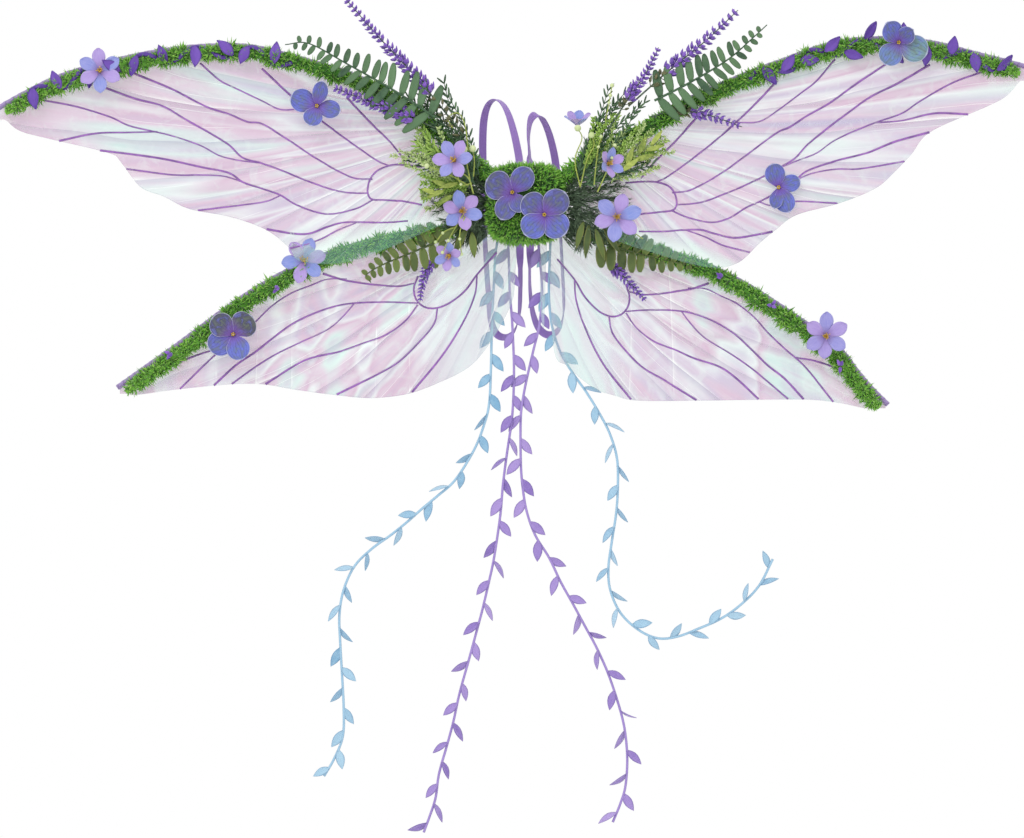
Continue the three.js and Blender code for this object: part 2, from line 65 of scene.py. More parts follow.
# ---------------------------------------------------------------- camera
# The view is 1.203 m wide at the wings, seen square on from 5 m.

def make_camera():
    data = bpy.data.cameras.new("camera")
    data.sensor_width = 36
    data.lens = 149.6
    data.clip_end = 50
    camera = bpy.data.objects.new("camera", data)
    camera.location = (-0.0153, -5.0, -0.2515)
    camera.rotation_euler = (math.pi / 2, 0, 0)
    bpy.context.scene.collection.objects.link(camera)
    bpy.context.scene.camera = camera


make_camera()


# ---------------------------------------------------------------- geometry helpers

def unit(v):
    return v / np.maximum(np.linalg.norm(v, axis=-1, keepdims=True), 1e-12)


def resample(path, count):
    """That many points evenly spaced along a path."""
    run = np.r_[0, np.cumsum(np.linalg.norm(np.diff(path, axis=0), axis=1))]
    at = np.linspace(0, run[-1], count)
    return np.stack([np.interp(at, run, path[:, k]) for k in range(path.shape[1])], 1)


def smooth_path(points, count):
    """Evenly spaced points on a Catmull-Rom curve through the given ones."""
    p = np.array(points, float)
    p = np.vstack([2 * p[0] - p[1], p, 2 * p[-1] - p[-2]])
    t = np.linspace(0, 1, 24, endpoint=False)[:, None]
    spans = []
    for a, b, c, d in zip(p, p[1:], p[2:], p[3:]):
        cubic = 2 * b + (c - a) * t + (2 * a - 5 * b + 4 * c - d) * t**2
        spans.append((cubic + (3 * b - a - 3 * c + d) * t**3) / 2)
    return resample(np.vstack(spans + [p[-2:-1]]), count)


def frames(path, front=FRONT):
    """Tangent, side and forward directions at each point of a path."""
    tangent = unit(np.gradient(path, axis=0))
    side = unit(np.cross(front, tangent))
    return tangent, side, np.cross(tangent, side)


def grid_quads(rows, columns, wrap=False):
    """Quads of a grid of points, joined round when wrap is set."""
    i = np.arange(rows - 1)[:, None] * columns
    j = np.arange(columns if wrap else columns - 1)[None]
    k = (j + 1) % columns
    return np.stack([i + j, i + columns + j, i + columns + k, i + k], -1).reshape(-1, 4)


def loft(rings, uv=None, inward=False):
    """Closed shell through rings of points (rows, sides, 3), capped at both ends. inward is set
    for rings that run the other way round."""
    rings = np.asarray(rings)
    rows, sides = rings.shape[:2]
    fan = np.arange(1, sides - 1)
    last = (rows - 1) * sides
    faces = [
        grid_quads(rows, sides, wrap=True),
        np.vstack([np.stack([0 * fan, fan, fan + 1], 1),
                   np.stack([0 * fan + last, last + fan + 1, last + fan], 1)]),
    ]
    if inward:
        faces = [f[:, ::-1] for f in faces]
    uv = np.zeros((rows * sides, 2)) if uv is None else uv
    return rings.reshape(-1, 3), faces, uv


def turned(a, b, angle):
    """Direction at an angle from a towards b."""
    return a * math.cos(angle) + b * math.sin(angle)


def box(node_name):
    """Low and high corners of a CAD node."""
    return [np.array(corner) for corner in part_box(node_name)]


def tube(path, radius, sides=6, flat=1.0, front=FRONT):
    """Closed tube. radius is a number or one for each point, and flat scales it towards front."""
    path = np.asarray(path, float)
    rows = len(path)
    radius = np.broadcast_to(radius, (rows,))
    _, side, forward = frames(path, front)
    a = 2 * np.pi * np.arange(sides) / sides
    ring = side[:, None] * np.cos(a)[None, :, None] + forward[:, None] * (flat * np.sin(a))[None, :, None]
    uv = np.stack(np.meshgrid(np.linspace(0, 1, rows), a / (2 * np.pi), indexing="ij"), -1)
    return loft(path[:, None] + ring * radius[:, None, None], uv.reshape(-1, 2))


def thin(grid, thickness, uv):
    """Closed thin shell about a grid of points (rows, columns, 3)."""
    rows, columns = grid.shape[:2]
    normal = unit(np.cross(np.gradient(grid, axis=0), np.gradient(grid, axis=1)))
    v = np.vstack([
        (grid + normal * thickness / 2).reshape(-1, 3),
        (grid - normal * thickness / 2).reshape(-1, 3),
    ])
    size = rows * columns
    front = grid_quads(rows, columns)
    at = np.arange(size).reshape(rows, columns)
    edge = np.r_[at[:, 0], at[-1, 1:], at[-2::-1, -1], at[0, -2:0:-1]]
    after = np.roll(edge, -1)
    rim = np.stack([after, edge, edge + size, after + size], 1)
    uv = uv.reshape(-1, 2)
    return v, [front, front[:, ::-1] + size, rim], np.vstack([uv, uv])


class Soup:
    """Many small closed shells that become one mesh."""

    def __init__(self):
        self.v, self.f, self.uv, self.tone, self.count = [], [], [], [], 0

    def add(self, shell, tone=0.0):
        v, faces, uv = shell
        self.f += [f + self.count for f in faces]
        self.v.append(v)
        self.uv.append(uv)
        self.tone.append(np.broadcast_to(tone, (len(v),)).astype(float))
        self.count += len(v)

    def make(self, name, material, body=None, slot=None):
        verts, uv = np.vstack(self.v), np.vstack(self.uv)
        loops = np.concatenate([f.ravel() for f in self.f]).astype(np.int32)
        sizes = np.concatenate([np.full(len(f), f.shape[1]) for f in self.f])
        mesh = bpy.data.meshes.new(name)
        mesh.vertices.add(len(verts))
        mesh.vertices.foreach_set("co", verts.astype(np.float32).ravel())
        mesh.loops.add(len(loops))
        mesh.loops.foreach_set("vertex_index", loops)
        mesh.polygons.add(len(sizes))
        mesh.polygons.foreach_set("loop_start", np.r_[0, np.cumsum(sizes)[:-1]].astype(np.int32))
        mesh.polygons.foreach_set("use_smooth", np.ones(len(sizes), bool))
        mesh.update(calc_edges=True)
        layer = mesh.uv_layers.new(name="UVMap")
        layer.data.foreach_set("uv", uv[loops].astype(np.float32).ravel())
        tone = mesh.attributes.new("tone", "FLOAT", "POINT")
        tone.data.foreach_set("value", np.concatenate(self.tone).astype(np.float32))
        mesh.materials.append(material)
        piece = bpy.data.objects.new(name, mesh)
        bpy.context.scene.collection.objects.link(piece)
        if body:
            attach(piece, body)
        return piece


def placed(shell, origin, along, normal):
    """A shell drawn with x along it and z out of it, moved to where it belongs."""
    along = unit(np.asarray(along, float))
    normal = np.asarray(normal, float)
    normal = unit(normal - along * np.dot(normal, along))
    across = np.cross(normal, along)
    v, faces, uv = shell
    return np.asarray(origin) + v @ np.stack([along, across, normal]), faces, uv


def bulged(root, joins, middle, reach):
    """Half-width rule: straight from root to a round end about middle."""
    def half(a):
        round_end = np.sqrt(np.maximum(1 - ((a - middle) / reach) ** 2, 0.02))
        start = math.sqrt(1 - ((joins - middle) / reach) ** 2)
        return np.where(a < joins, root + (start - root) * a / joins, round_end)
    return half


OUTLINES = {  # half width along a petal or leaf, as a share of its widest
    "round": bulged(0.16, 0.3, 0.56, 0.445),
    "oval": bulged(0.2, 0.4, 0.62, 0.40),
    "leaf": lambda a: np.sin(np.pi * np.clip(a, 0.03, 0.985) ** 0.85) ** 0.85,
    "oblong": lambda a: (0.5 + 0.5 * np.sin(np.minimum(a / 0.35, 1) * np.pi / 2))
    * np.sqrt(1 - (np.maximum(a - 0.5, 0) / 0.515) ** 2),
}


def blade(kind, length, width, rows=7, columns=5, cup=0.0, fold=0.0, droop=0.0, ripple=0.0,
          tip=0.0, thickness=0.4 * MM, phase=0.0):
    """Petal or leaf drawn flat with x along it. cup lifts its sides and end, fold creases it at the
    midrib, droop bends it back, ripple waves its rim, and tip rounds its end."""
    a = np.sin(np.linspace(0, np.pi / 2, rows))[:, None]
    v = np.linspace(-1, 1, columns)[None]
    half = OUTLINES[kind](a) * width / 2
    x = length * (a - tip * v**2 * a**2)
    y = half * v
    rim = np.maximum(np.abs(v), a**3)
    z = length * (cup * (0.5 * a**2 + 0.35 * v**2 * a) - droop * a**2) + fold * half * np.abs(v)
    z = z + ripple * length * rim**2 * a * np.sin(5.3 * v + 9 * a + phase)
    uv = np.stack(np.broadcast_arrays(a, (v + 1) / 2), -1)
    return thin(np.stack(np.broadcast_arrays(x, y, z), -1), thickness, uv)


def bud(base, along, length, radius, sides=5):
    """Small teardrop that starts at base."""
    stops = np.array([0, 0.25, 0.6, 1.0])
    path = np.asarray(base) + np.outer(stops * length, unit(np.asarray(along, float)))
    front = FRONT if abs(unit(np.asarray(along, float)) @ FRONT) < 0.9 else np.array([0, 0, 1.0])
    return tube(path, radius * np.array([0.35, 1, 0.8, 0.12]), sides, front=front)


def ball(centre, radius, sides=8):
    angle = np.linspace(0.15, math.pi - 0.15, 7)
    path = np.asarray(centre) - np.outer(np.cos(angle) * radius, np.array([0.3, 0.2, 0.93]))
    return tube(path, radius * np.sin(angle), sides)


# ---------------------------------------------------------------- materials

def srgb(colour):
    """Linear colour from screen values of 0 to 255. A single number is a grey."""
    screen = np.broadcast_to(colour, 3) / 255
    linear = np.where(screen <= 0.04045, screen / 12.92, ((screen + 0.055) / 1.055) ** 2.4)
    return (*map(float, linear), 1.0)


def new_material(name, **values):
    """Material whose Principled sockets are set by name, with _ for a space."""
    material = bpy.data.materials.new(name)
    material.use_nodes = True
    shader = material.node_tree.nodes["Principled BSDF"]
    for socket, value in values.items():
        shader.inputs[socket.replace("_", " ")].default_value = value
    return material, material.node_tree, shader


def node(tree, kind, inputs=None, **settings):
    made = tree.nodes.new("ShaderNode" + kind)
    for key, value in settings.items():
        setattr(made, key, value)
    for socket, value in (inputs or {}).items():
        if isinstance(value, bpy.types.NodeSocket):
            tree.links.new(value, made.inputs[socket])
        else:
            made.inputs[socket].default_value = value
    return made


def ramp(tree, factor, stops):
    """Colour ramp from (place, colour) stops."""
    made = node(tree, "ValToRGB", {"Fac": factor})
    elements = made.color_ramp.elements
    while len(elements) < len(stops):
        elements.new(0.5)
    for element, (place, colour) in zip(elements, stops):
        element.position = place
        element.color = srgb(colour)
    return made.outputs["Color"]


def mixed(tree, factor, a, b, blend="MIX"):
    made = node(tree, "MixRGB", {"Fac": factor}, blend_type=blend)
    for socket, value in (("Color1", a), ("Color2", b)):
        if isinstance(value, bpy.types.NodeSocket):
            tree.links.new(value, made.inputs[socket])
        else:
            made.inputs[socket].default_value = srgb(value)
    return made.outputs["Color"]


def maths(tree, operation, a, b=0.0):
    return node(tree, "Math", {0: a, 1: b}, operation=operation).outputs[0]


def tone(tree):
    return node(tree, "Attribute", attribute_name="tone").outputs["Fac"]


def uv_axes(tree):
    """UV as its vector, its first axis and its second."""
    vector = node(tree, "UVMap", uv_map="UVMap").outputs["UV"]
    split = node(tree, "SeparateXYZ", {0: vector})
    return vector, split.outputs["X"], split.outputs["Y"]


def scaled(tree, vector, x, y, z=1.0):
    return node(tree, "Mapping", {"Vector": vector, "Scale": (x, y, z)}).outputs["Vector"]


def noise(tree, vector, scale, detail=3.0, rough=0.5, distortion=0.0):
    values = {"Vector": vector, "Scale": scale, "Detail": detail, "Roughness": rough,
              "Distortion": distortion}
    return node(tree, "TexNoise", values).outputs["Fac"]


def object_place(tree):
    return node(tree, "TexCoord").outputs["Object"]


def bump(tree, shader, height, strength, distance):
    values = {"Height": height, "Strength": strength, "Distance": distance}
    tree.links.new(node(tree, "Bump", values).outputs["Normal"], shader.inputs["Normal"])


def band_place(tree, across, rate, start):
    """Place across its own band, 0 to 1, where there are rate bands to a unit of across."""
    return maths(tree, "FRACT", maths(tree, "ADD", maths(tree, "MULTIPLY", across, rate), start))


def waves(tree, value, rate):
    """Even ridges across a value."""
    return maths(tree, "ABSOLUTE", maths(tree, "SINE", maths(tree, "MULTIPLY", value, rate)))


def paint(tree, shader, colour):
    tree.links.new(colour, shader.inputs["Base Color"])


def film_material(name, hanging):
    """Clear film in soft bands of pink, lilac, mint and white that fan out from the root, with a
    painted highlight line where it is creased, painted highlights on its crinkles and painted shade
    towards the far edge of each band. hanging adds the straight pleats of a lower wing, each with a
    painted highlight line."""
    material, tree, shader = new_material(
        name, Roughness=0.2, Thin_Film_Thickness=420.0, Thin_Film_IOR=1.6)
    vector, _, angle = uv_axes(tree)
    bands = noise(tree, scaled(tree, vector, 1.7, 7.2), 1.0, 2.0, 0.4, 0.25)
    place = object_place(tree)
    if hanging:
        pleats = noise(tree, scaled(tree, place, 17.0, 0.0, 2.2), 1.0, 2.0, 0.4, 0.2)
        bands = maths(tree, "ADD", bands, maths(tree, "SUBTRACT", pleats, 0.24))
        bands = maths(tree, "MULTIPLY", bands, 0.68)
    tint = ramp(tree, bands, [
        (0.30, (176, 158, 204)), (0.38, (212, 164, 202)), (0.45, (204, 184, 216)), (0.50, (236, 240, 244)),
        (0.545, (204, 152, 194)), (0.60, (218, 184, 214)), (0.66, (202, 232, 228)), (0.74, (184, 168, 208))])
    fine = noise(tree, scaled(tree, vector, 5.0, 19.0), 1.0, 3.0, 0.5, 0.4)
    fine_tint = ramp(tree, fine, [
        (0.36, (184, 160, 206)), (0.48, (226, 186, 214)), (0.56, (238, 238, 244)), (0.66, (190, 228, 220))])
    colour = mixed(tree, 0.24, tint, fine_tint)
    # Painted highlight: pale mint-white patches where light catches the film's crinkles.
    crinkle_highlight = noise(tree, place, 42.0, 3.0, 0.55, 1.2)
    colour = mixed(tree, ramp(tree, crinkle_highlight, [(0.52, 0), (0.66, 150)]),
                   colour, (226, 240, 238))
    veil = tone(tree)
    clear = (158, 226, 220) if hanging else (150, 226, 204)
    share = 0.75 if hanging else 0.8
    colour = mixed(tree, maths(tree, "MULTIPLY", veil, share), colour, clear)
    sway = maths(tree, "MULTIPLY", noise(tree, scaled(tree, vector, 4.0, 1.6), 1.0, 2.0, 0.45), 0.10)
    cell_place = band_place(tree, maths(tree, "ADD", angle, sway), 8.0, 3.0)
    small_place = band_place(tree, maths(tree, "ADD", angle, sway), 19.0, 11.0)
    # Painted highlight: a bright white line along each crease, broken into pieces by the noise below. The
    # film is also less clear along it.
    crease = ramp(tree, maths(tree, "MINIMUM", cell_place, maths(tree, "MULTIPLY", small_place, 2.5)),
                  [(0.0, 255), (0.045, 200), (0.10, 0)])
    broken = ramp(tree, noise(tree, scaled(tree, vector, 7.0, 7.0), 1.0, 2.0),
                  [(0.48, 0), (0.60, 245)])
    line = mixed(tree, 1.0, crease, broken, "MULTIPLY")
    if hanging:
        across = node(tree, "SeparateXYZ", {"Vector": place}).outputs["X"]
        uneven = noise(tree, scaled(tree, place, 9.0, 0.0, 0.9), 1.0, 1.0)
        across = maths(tree, "ADD", across, maths(tree, "MULTIPLY", uneven, 0.13))
        # Painted highlight: a bright line down each hanging pleat.
        pleat_place = band_place(tree, across, 16.0, 40.0)
        pleat_highlight = ramp(tree, pleat_place, [(0.0, 230), (0.03, 150), (0.08, 0)])
        line = mixed(tree, 1.0, line, mixed(tree, 1.0, pleat_highlight, broken, "MULTIPLY"), "ADD")
    # The painted highlight lines of the creases and pleats whiten the colour here.
    colour = mixed(tree, line, colour, 255)
    # Painted shade: each band darkens towards its far edge, where the fold there turns from the light.
    shade = ramp(tree, cell_place, [(0.78, 255), (1.0, (204, 196, 218))])
    colour = mixed(tree, 0.7, colour, shade, "MULTIPLY")
    paint(tree, shader, colour)
    alpha = node(tree, "MapRange", {"Value": line, "To Min": 0.44, "To Max": 0.7}).outputs["Result"]
    alpha = maths(tree, "SUBTRACT", alpha, maths(tree, "MULTIPLY", veil, 0.32))
    tree.links.new(alpha, shader.inputs["Alpha"])
    bump(tree, shader, bands, 0.3, 3 * MM)
    return material


def vein_material():
    material, tree, shader = new_material("vein_foil", Roughness=0.3)
    grain = noise(tree, object_place(tree), 90.0)
    paint(tree, shader, ramp(tree, grain, [(0.35, (118, 78, 150)), (0.65, (160, 104, 188))]))
    return material


def wrapped_material(name, dark, light, pitch):
    """Tape wound round a rod: satin, with a shade line at each turn."""
    material, tree, shader = new_material(name, Roughness=0.42, Sheen_Weight=0.4)
    vector, along, around = uv_axes(tree)
    turns = maths(tree, "FRACT", maths(tree, "ADD", maths(tree, "MULTIPLY", along, pitch), around))
    fibre = noise(tree, scaled(tree, vector, 400.0, 8.0), 1.0)
    colour = mixed(tree, 0.25, ramp(tree, turns, [(0.0, dark), (0.2, light), (1.0, light)]),
                   ramp(tree, fibre, [(0.3, dark), (0.7, light)]))
    paint(tree, shader, colour)
    bump(tree, shader, turns, 0.5, 0.4 * MM)
    return material


def moss_material():
    """Chenille blades, each its own green, with painted shade: dark at the base, deep among the blades, and
    bright at the tip.
    """
    material, tree, shader = new_material("green_moss", Roughness=0.7, Sheen_Weight=0.2)
    _, along, _ = uv_axes(tree)
    # Painted shade along each blade: dark where it sits deep in the moss, bright at its tip.
    depth = ramp(tree, along, [(0.0, (24, 66, 12)), (0.45, (78, 156, 30)), (1.0, (142, 212, 66))])
    own = ramp(tree, tone(tree), [(0.0, (52, 112, 22)), (0.5, (116, 188, 44)), (1.0, (190, 232, 110))])
    paint(tree, shader, mixed(tree, 0.45, depth, own))
    bump(tree, shader, noise(tree, object_place(tree), 900.0), 0.3, 0.3 * MM)
    return material


def hydrangea_material():
    """Printed silk: grey green and blue violet patches, dark forked veins, violet heart, pale rim."""
    material, tree, shader = new_material("hydrangea_silk", Roughness=0.55, Sheen_Weight=0.3)
    vector, along, across = uv_axes(tree)
    own = ramp(tree, tone(tree), [(0.0, (62, 62, 74)), (0.35, (84, 84, 158)), (0.7, (92, 106, 200)),
                                  (1.0, (112, 150, 160))])
    mottle = noise(tree, scaled(tree, vector, 3.0, 3.0), 1.3, 4.0, 0.6, 0.5)
    own = mixed(tree, ramp(tree, mottle, [(0.47, 0), (0.6, 190)]), own, (104, 118, 96))
    blue = ramp(tree, mottle, [(0.34, 190), (0.48, 0)])
    own = mixed(tree, blue, own, (112, 122, 214))
    heart = ramp(tree, along, [(0.08, 235), (0.5, 0)])
    own = mixed(tree, heart, own, (112, 62, 164))
    wander = noise(tree, scaled(tree, vector, 4.0, 4.0), 1.0, 3.0, 0.6)
    spread = maths(tree, "ADD", across, maths(tree, "MULTIPLY", wander, 0.16))
    main = waves(tree, spread, 24.0)
    own = mixed(tree, ramp(tree, main, [(0.0, 225), (0.3, 0)]), own, (44, 30, 92))
    net = node(tree, "TexVoronoi", {"Vector": scaled(tree, vector, 6.0, 9.0), "Scale": 1.6},
               feature="DISTANCE_TO_EDGE").outputs["Distance"]
    own = mixed(tree, ramp(tree, net, [(0.0, 70), (0.10, 0)]), own, (170, 176, 214))
    off = maths(tree, "MULTIPLY", maths(tree, "ABSOLUTE", maths(tree, "SUBTRACT", across, 0.5)), 2.0)
    rim = ramp(tree, maths(tree, "MAXIMUM", along, off), [(0.94, 0), (0.98, 215)])
    own = mixed(tree, rim, own, (206, 208, 236))
    paint(tree, shader, own)
    bump(tree, shader, main, 0.35, 0.4 * MM)
    return material


def petal_material():
    """Soft silk, lilac or periwinkle petal by petal, paler at the rim and tan at the root."""
    material, tree, shader = new_material("silk_petals", Roughness=0.6, Sheen_Weight=0.5)
    vector, along, across = uv_axes(tree)
    own = ramp(tree, tone(tree), [(0.0, (176, 146, 214)), (0.5, (156, 142, 212)), (1.0, (124, 142, 214))])
    grain = noise(tree, scaled(tree, vector, 3.0, 30.0), 1.0, 3.0, 0.6)
    colour = mixed(tree, ramp(tree, grain, [(0.42, 0), (0.75, 150)]),
                   own, (226, 218, 246))
    heart = ramp(tree, along, [(0.02, 225), (0.42, 0)])
    colour = mixed(tree, heart, colour, (120, 84, 168))
    edge = maths(tree, "ABSOLUTE", maths(tree, "SUBTRACT", across, 0.5))
    colour = mixed(tree, ramp(tree, edge, [(0.40, 0), (0.5, 130)]),
                   colour, (206, 198, 240))
    paint(tree, shader, colour)
    bump(tree, shader, grain, 0.4, 0.4 * MM)
    return material


def leaf_material(name, dark, light, edge, roughness=0.55, ribs=12.0, **sockets):
    """Leaf with slanting side veins and a rim in its edge colour, and its own shade by tone."""
    material, tree, shader = new_material(name, Roughness=roughness, **sockets)
    _, along, across = uv_axes(tree)
    off = maths(tree, "ABSOLUTE", maths(tree, "SUBTRACT", across, 0.5))
    body = ramp(tree, tone(tree), [(0.0, dark), (1.0, light)])
    patch = noise(tree, object_place(tree), 140.0, 3.0)
    body = mixed(tree, ramp(tree, patch, [(0.4, 0), (0.7, 170)]), body, light)
    slant = maths(tree, "ADD", maths(tree, "MULTIPLY", along, ribs), maths(tree, "MULTIPLY", off, -8.0))
    rib = waves(tree, slant, math.pi)
    body = mixed(tree, ramp(tree, rib, [(0.0, 110), (0.35, 0)]), body, edge)
    rim = ramp(tree, off, [(0.34, 0), (0.5, 200)])
    body = mixed(tree, rim, body, edge)
    paint(tree, shader, body)
    bump(tree, shader, rib, 0.5, 0.35 * MM)
    return material


def plain_material(name, dark, light, roughness, scale=220.0, **sockets):
    """Small-scale mottled surface between two shades, with each shell's own tone."""
    material, tree, shader = new_material(name, Roughness=roughness, **sockets)
    grain = noise(tree, object_place(tree), scale, 4.0, 0.6)
    own = ramp(tree, tone(tree), [(0.0, dark), (1.0, light)])
    speck = ramp(tree, grain, [(0.35, dark), (0.68, light)])
    paint(tree, shader, mixed(tree, 0.5, own, speck))
    bump(tree, shader, grain, 0.4, 0.3 * MM)
    return material


def elastic_material():
    """Braided elastic: fine lengthwise ribs crossed by short stitches, with painted shade in the grooves
    between them.
    """
    material, tree, shader = new_material("purple_elastic", Roughness=0.7, Sheen_Weight=0.4)
    _, along, across = uv_axes(tree)
    ribs = waves(tree, across, 28.0)
    knit = waves(tree, along, 1500.0)
    cloth = maths(tree, "MULTIPLY", ribs, maths(tree, "ADD", maths(tree, "MULTIPLY", knit, 0.4), 0.6))
    # Painted shade: darker in the grooves, lighter on the ribs and stitches.
    colour = ramp(tree, cloth, [(0.0, (104, 74, 150)), (0.5, (146, 110, 192)), (1.0, (176, 142, 214))])
    paint(tree, shader, colour)
    bump(tree, shader, cloth, 0.6, 0.4 * MM)
    return material


def felt_material():
    material, tree, shader = new_material("purple_felt", Roughness=0.95, Sheen_Weight=0.6)
    place = object_place(tree)
    fibre = noise(tree, scaled(tree, place, 1.0, 1.0, 2.2), 520.0, 5.0, 0.7, 1.5)
    paint(tree, shader, ramp(tree, fibre, [(0.3, (74, 52, 104)), (0.7, (124, 94, 160))]))
    bump(tree, shader, fibre, 0.7, 0.5 * MM)
    return material


def wire_material():
    material, tree, shader = new_material("spar_wire", Metallic=1.0, Roughness=0.35)
    drawn = noise(tree, scaled(tree, object_place(tree), 20.0, 900.0, 900.0), 1.0)
    paint(tree, shader, ramp(tree, drawn, [(0.3, (120, 120, 126)), (0.7, (176, 176, 182))]))
    return material


UPPER_FILM = film_material("iridescent_film_upper", False)
LOWER_FILM = film_material("iridescent_film_lower", True)
VEIN = vein_material()
TAPE = wrapped_material("purple_tape", (98, 80, 130), (156, 134, 186), 60.0)
MOSS = moss_material()
HYDRANGEA = hydrangea_material()
PETAL = petal_material()
STAMEN = plain_material("stamens", (150, 104, 20), (240, 206, 84), 0.6)
FERN = leaf_material("fern_green", (44, 78, 54), (98, 134, 92), (66, 92, 56))
OLIVE = leaf_material("olive_leaf", (48, 70, 34), (104, 124, 58), (150, 150, 78))
NEEDLE = plain_material("needle_green", (30, 54, 40), (142, 168, 132), 0.6)
LAVENDER = plain_material("lavender_purple", (84, 50, 150), (154, 108, 214), 0.85, Sheen_Weight=0.4)
OLIVE_POD = plain_material("olive_pods", (66, 70, 46), (126, 126, 88), 0.7)
STEM = plain_material("stem_green", (92, 116, 40), (186, 200, 96), 0.6)
FROSTED = plain_material("frosted_green", (128, 164, 78), (222, 236, 172), 0.8)
LIME = plain_material("lime_green", (96, 140, 48), (190, 222, 112), 0.7)
BERRY = plain_material("berry", (176, 198, 124), (228, 236, 186), 0.35, scale=90.0)
VINE = leaf_material("vine_purple", (84, 50, 150), (120, 82, 188), (64, 36, 124), 0.45)
RIBBONS = {
    "ribbon_blue": leaf_material("ribbon_blue", (126, 176, 210), (176, 212, 234), (96, 146, 190),
                                 0.4, 7.0, Sheen_Weight=0.5),
    "ribbon_purple": leaf_material("ribbon_purple", (132, 104, 188), (176, 152, 218), (104, 76, 166),
                                   0.4, 7.0, Sheen_Weight=0.5),
}
ELASTIC = elastic_material()
FELT = felt_material()
WIRE = wire_material()
YOKE = plain_material("yoke_tape", (84, 60, 118), (128, 98, 160), 0.5)


# ---------------------------------------------------------------- leaf ribbons
# The routes are those of the CAD stems. Each stem carries die-cut leaves, left and right in turn.

RIBBON_ROUTES = {
    "outer_left_ribbon": ("ribbon_blue", [
        (-32, -40), (-35, -62), (-37, -100), (-39, -147), (-40, -190), (-42, -232),
        (-48, -258), (-60, -288), (-82, -323), (-103, -342), (-120, -356), (-138, -372),
        (-158, -388), (-180, -404), (-200, -424), (-213, -452), (-218, -482), (-217, -515),
        (-215, -551), (-213, -590), (-214, -624), (-224, -650), (-236, -671)]),
    "inner_left_ribbon": ("ribbon_purple", [
        (-20, -40), (-19, -66), (-18, -101), (-15, -140), (-13, -195), (-15, -247),
        (-21, -290), (-26, -329), (-29, -364), (-36, -412), (-42, -441), (-50, -475),
        (-58, -505), (-67, -538), (-77, -574), (-84, -606), (-92, -636), (-101, -668),
        (-105, -696), (-112, -718), (-119, -737)]),
    "inner_right_ribbon": ("ribbon_purple", [
        (15, -40), (18, -70), (20, -102), (17, -140), (10, -170), (3, -200), (-2, -225),
        (-5, -250), (-5, -300), (-3, -330), (2, -360), (12, -388), (28, -414), (42, -443),
        (57, -470), (71, -496), (84, -520), (97, -549), (109, -584), (117, -616), (120, -650),
        (118, -682), (112, -703), (103, -725)]),
    "outer_right_ribbon": ("ribbon_blue", [
        (30, -40), (29, -66), (28, -95), (29, -122), (33, -148), (43, -176), (57, -199),
        (72, -220), (88, -246), (100, -270), (108, -298), (109, -331), (107, -362),
        (102, -395), (98, -425), (100, -452), (112, -479), (133, -499), (156, -509),
        (179, -507), (203, -498), (230, -486), (254, -469), (275, -447), (291, -416)]),
}
RIBBON_WIDTH = 3.0 * MM
LEAF_PITCH = 24 * MM
LEAF_LENGTH = 23 * MM
LEAF_WIDTH = 10.5 * MM


def ribbon_point(x, z):
    """Point of a ribbon: between backing and lower film at its tie, then just behind the film."""
    return (x * MM, (-2.8 - 2.4 * max(0, 1 + (z + 40) / 60)) * MM, z * MM)


def make_ribbon(name, slot, route):
    route = [ribbon_point(x, z) for x, z in route]
    path = smooth_path(route, 240)
    length = float(np.linalg.norm(np.diff(path, axis=0), axis=1).sum())
    stem = Soup()
    stem.add(tube(path, RIBBON_WIDTH / 2, 8, flat=0.55), 0.6)
    piece = stem.make(name + "_stem", RIBBONS[slot], "hub", slot)
    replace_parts(piece, name)
    leaves = Soup()
    tangent, side, forward = frames(path)
    count = int(length / LEAF_PITCH)
    for i in range(count):
        at = int((i + 0.6) / count * (len(path) - 1))
        hand = 1 if i % 2 else -1
        lean = 0.62 + rng.uniform(-0.14, 0.18)
        along = turned(tangent[at], hand * side[at], lean)
        free = np.clip((-0.17 - path[at][2]) / 0.05, 0, 1)
        twist = rng.uniform(-1.15, 1.15) * free + rng.uniform(-0.2, 0.2)
        normal = turned(forward[at], np.cross(forward[at], along), twist)
        size = rng.uniform(0.92, 1.1)
        shell = blade("leaf", LEAF_LENGTH * size, LEAF_WIDTH * size, 9, 5, fold=0.3 * max(free, 0.3),
                      droop=rng.uniform(-0.12, 0.16) * free, thickness=0.5 * MM)
        leaves.add(placed(shell, path[at], along, normal), rng.uniform(0, 1))
    foliage = leaves.make(name + "_leaves", RIBBONS[slot], "hub", slot)


for ribbon_name, (ribbon_slot, ribbon_route) in RIBBON_ROUTES.items():
    make_ribbon(ribbon_name, ribbon_slot, ribbon_route)


# ---------------------------------------------------------------- wings

def clusters(node_name, gap):
    """Centres of the rings of a node whose rings are at least gap apart along X."""
    co = np.array([v.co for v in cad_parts[node_name].data.vertices])
    co = np.unique(np.round(co, 5), axis=0)
    co = co[np.argsort(np.abs(co[:, 0]))]
    splits = np.nonzero(np.diff(np.abs(co[:, 0])) > gap)[0] + 1
    return [c for c in np.split(co, splits)]


FILM_FOOT = {"upper": (0.052, 0.095), "lower": (-0.005, -0.010)}  # where the bands fan out from
BAND_START = {"upper_left": 2.0, "upper_right": 5.1, "lower_left": 7.4, "lower_right": 9.7}


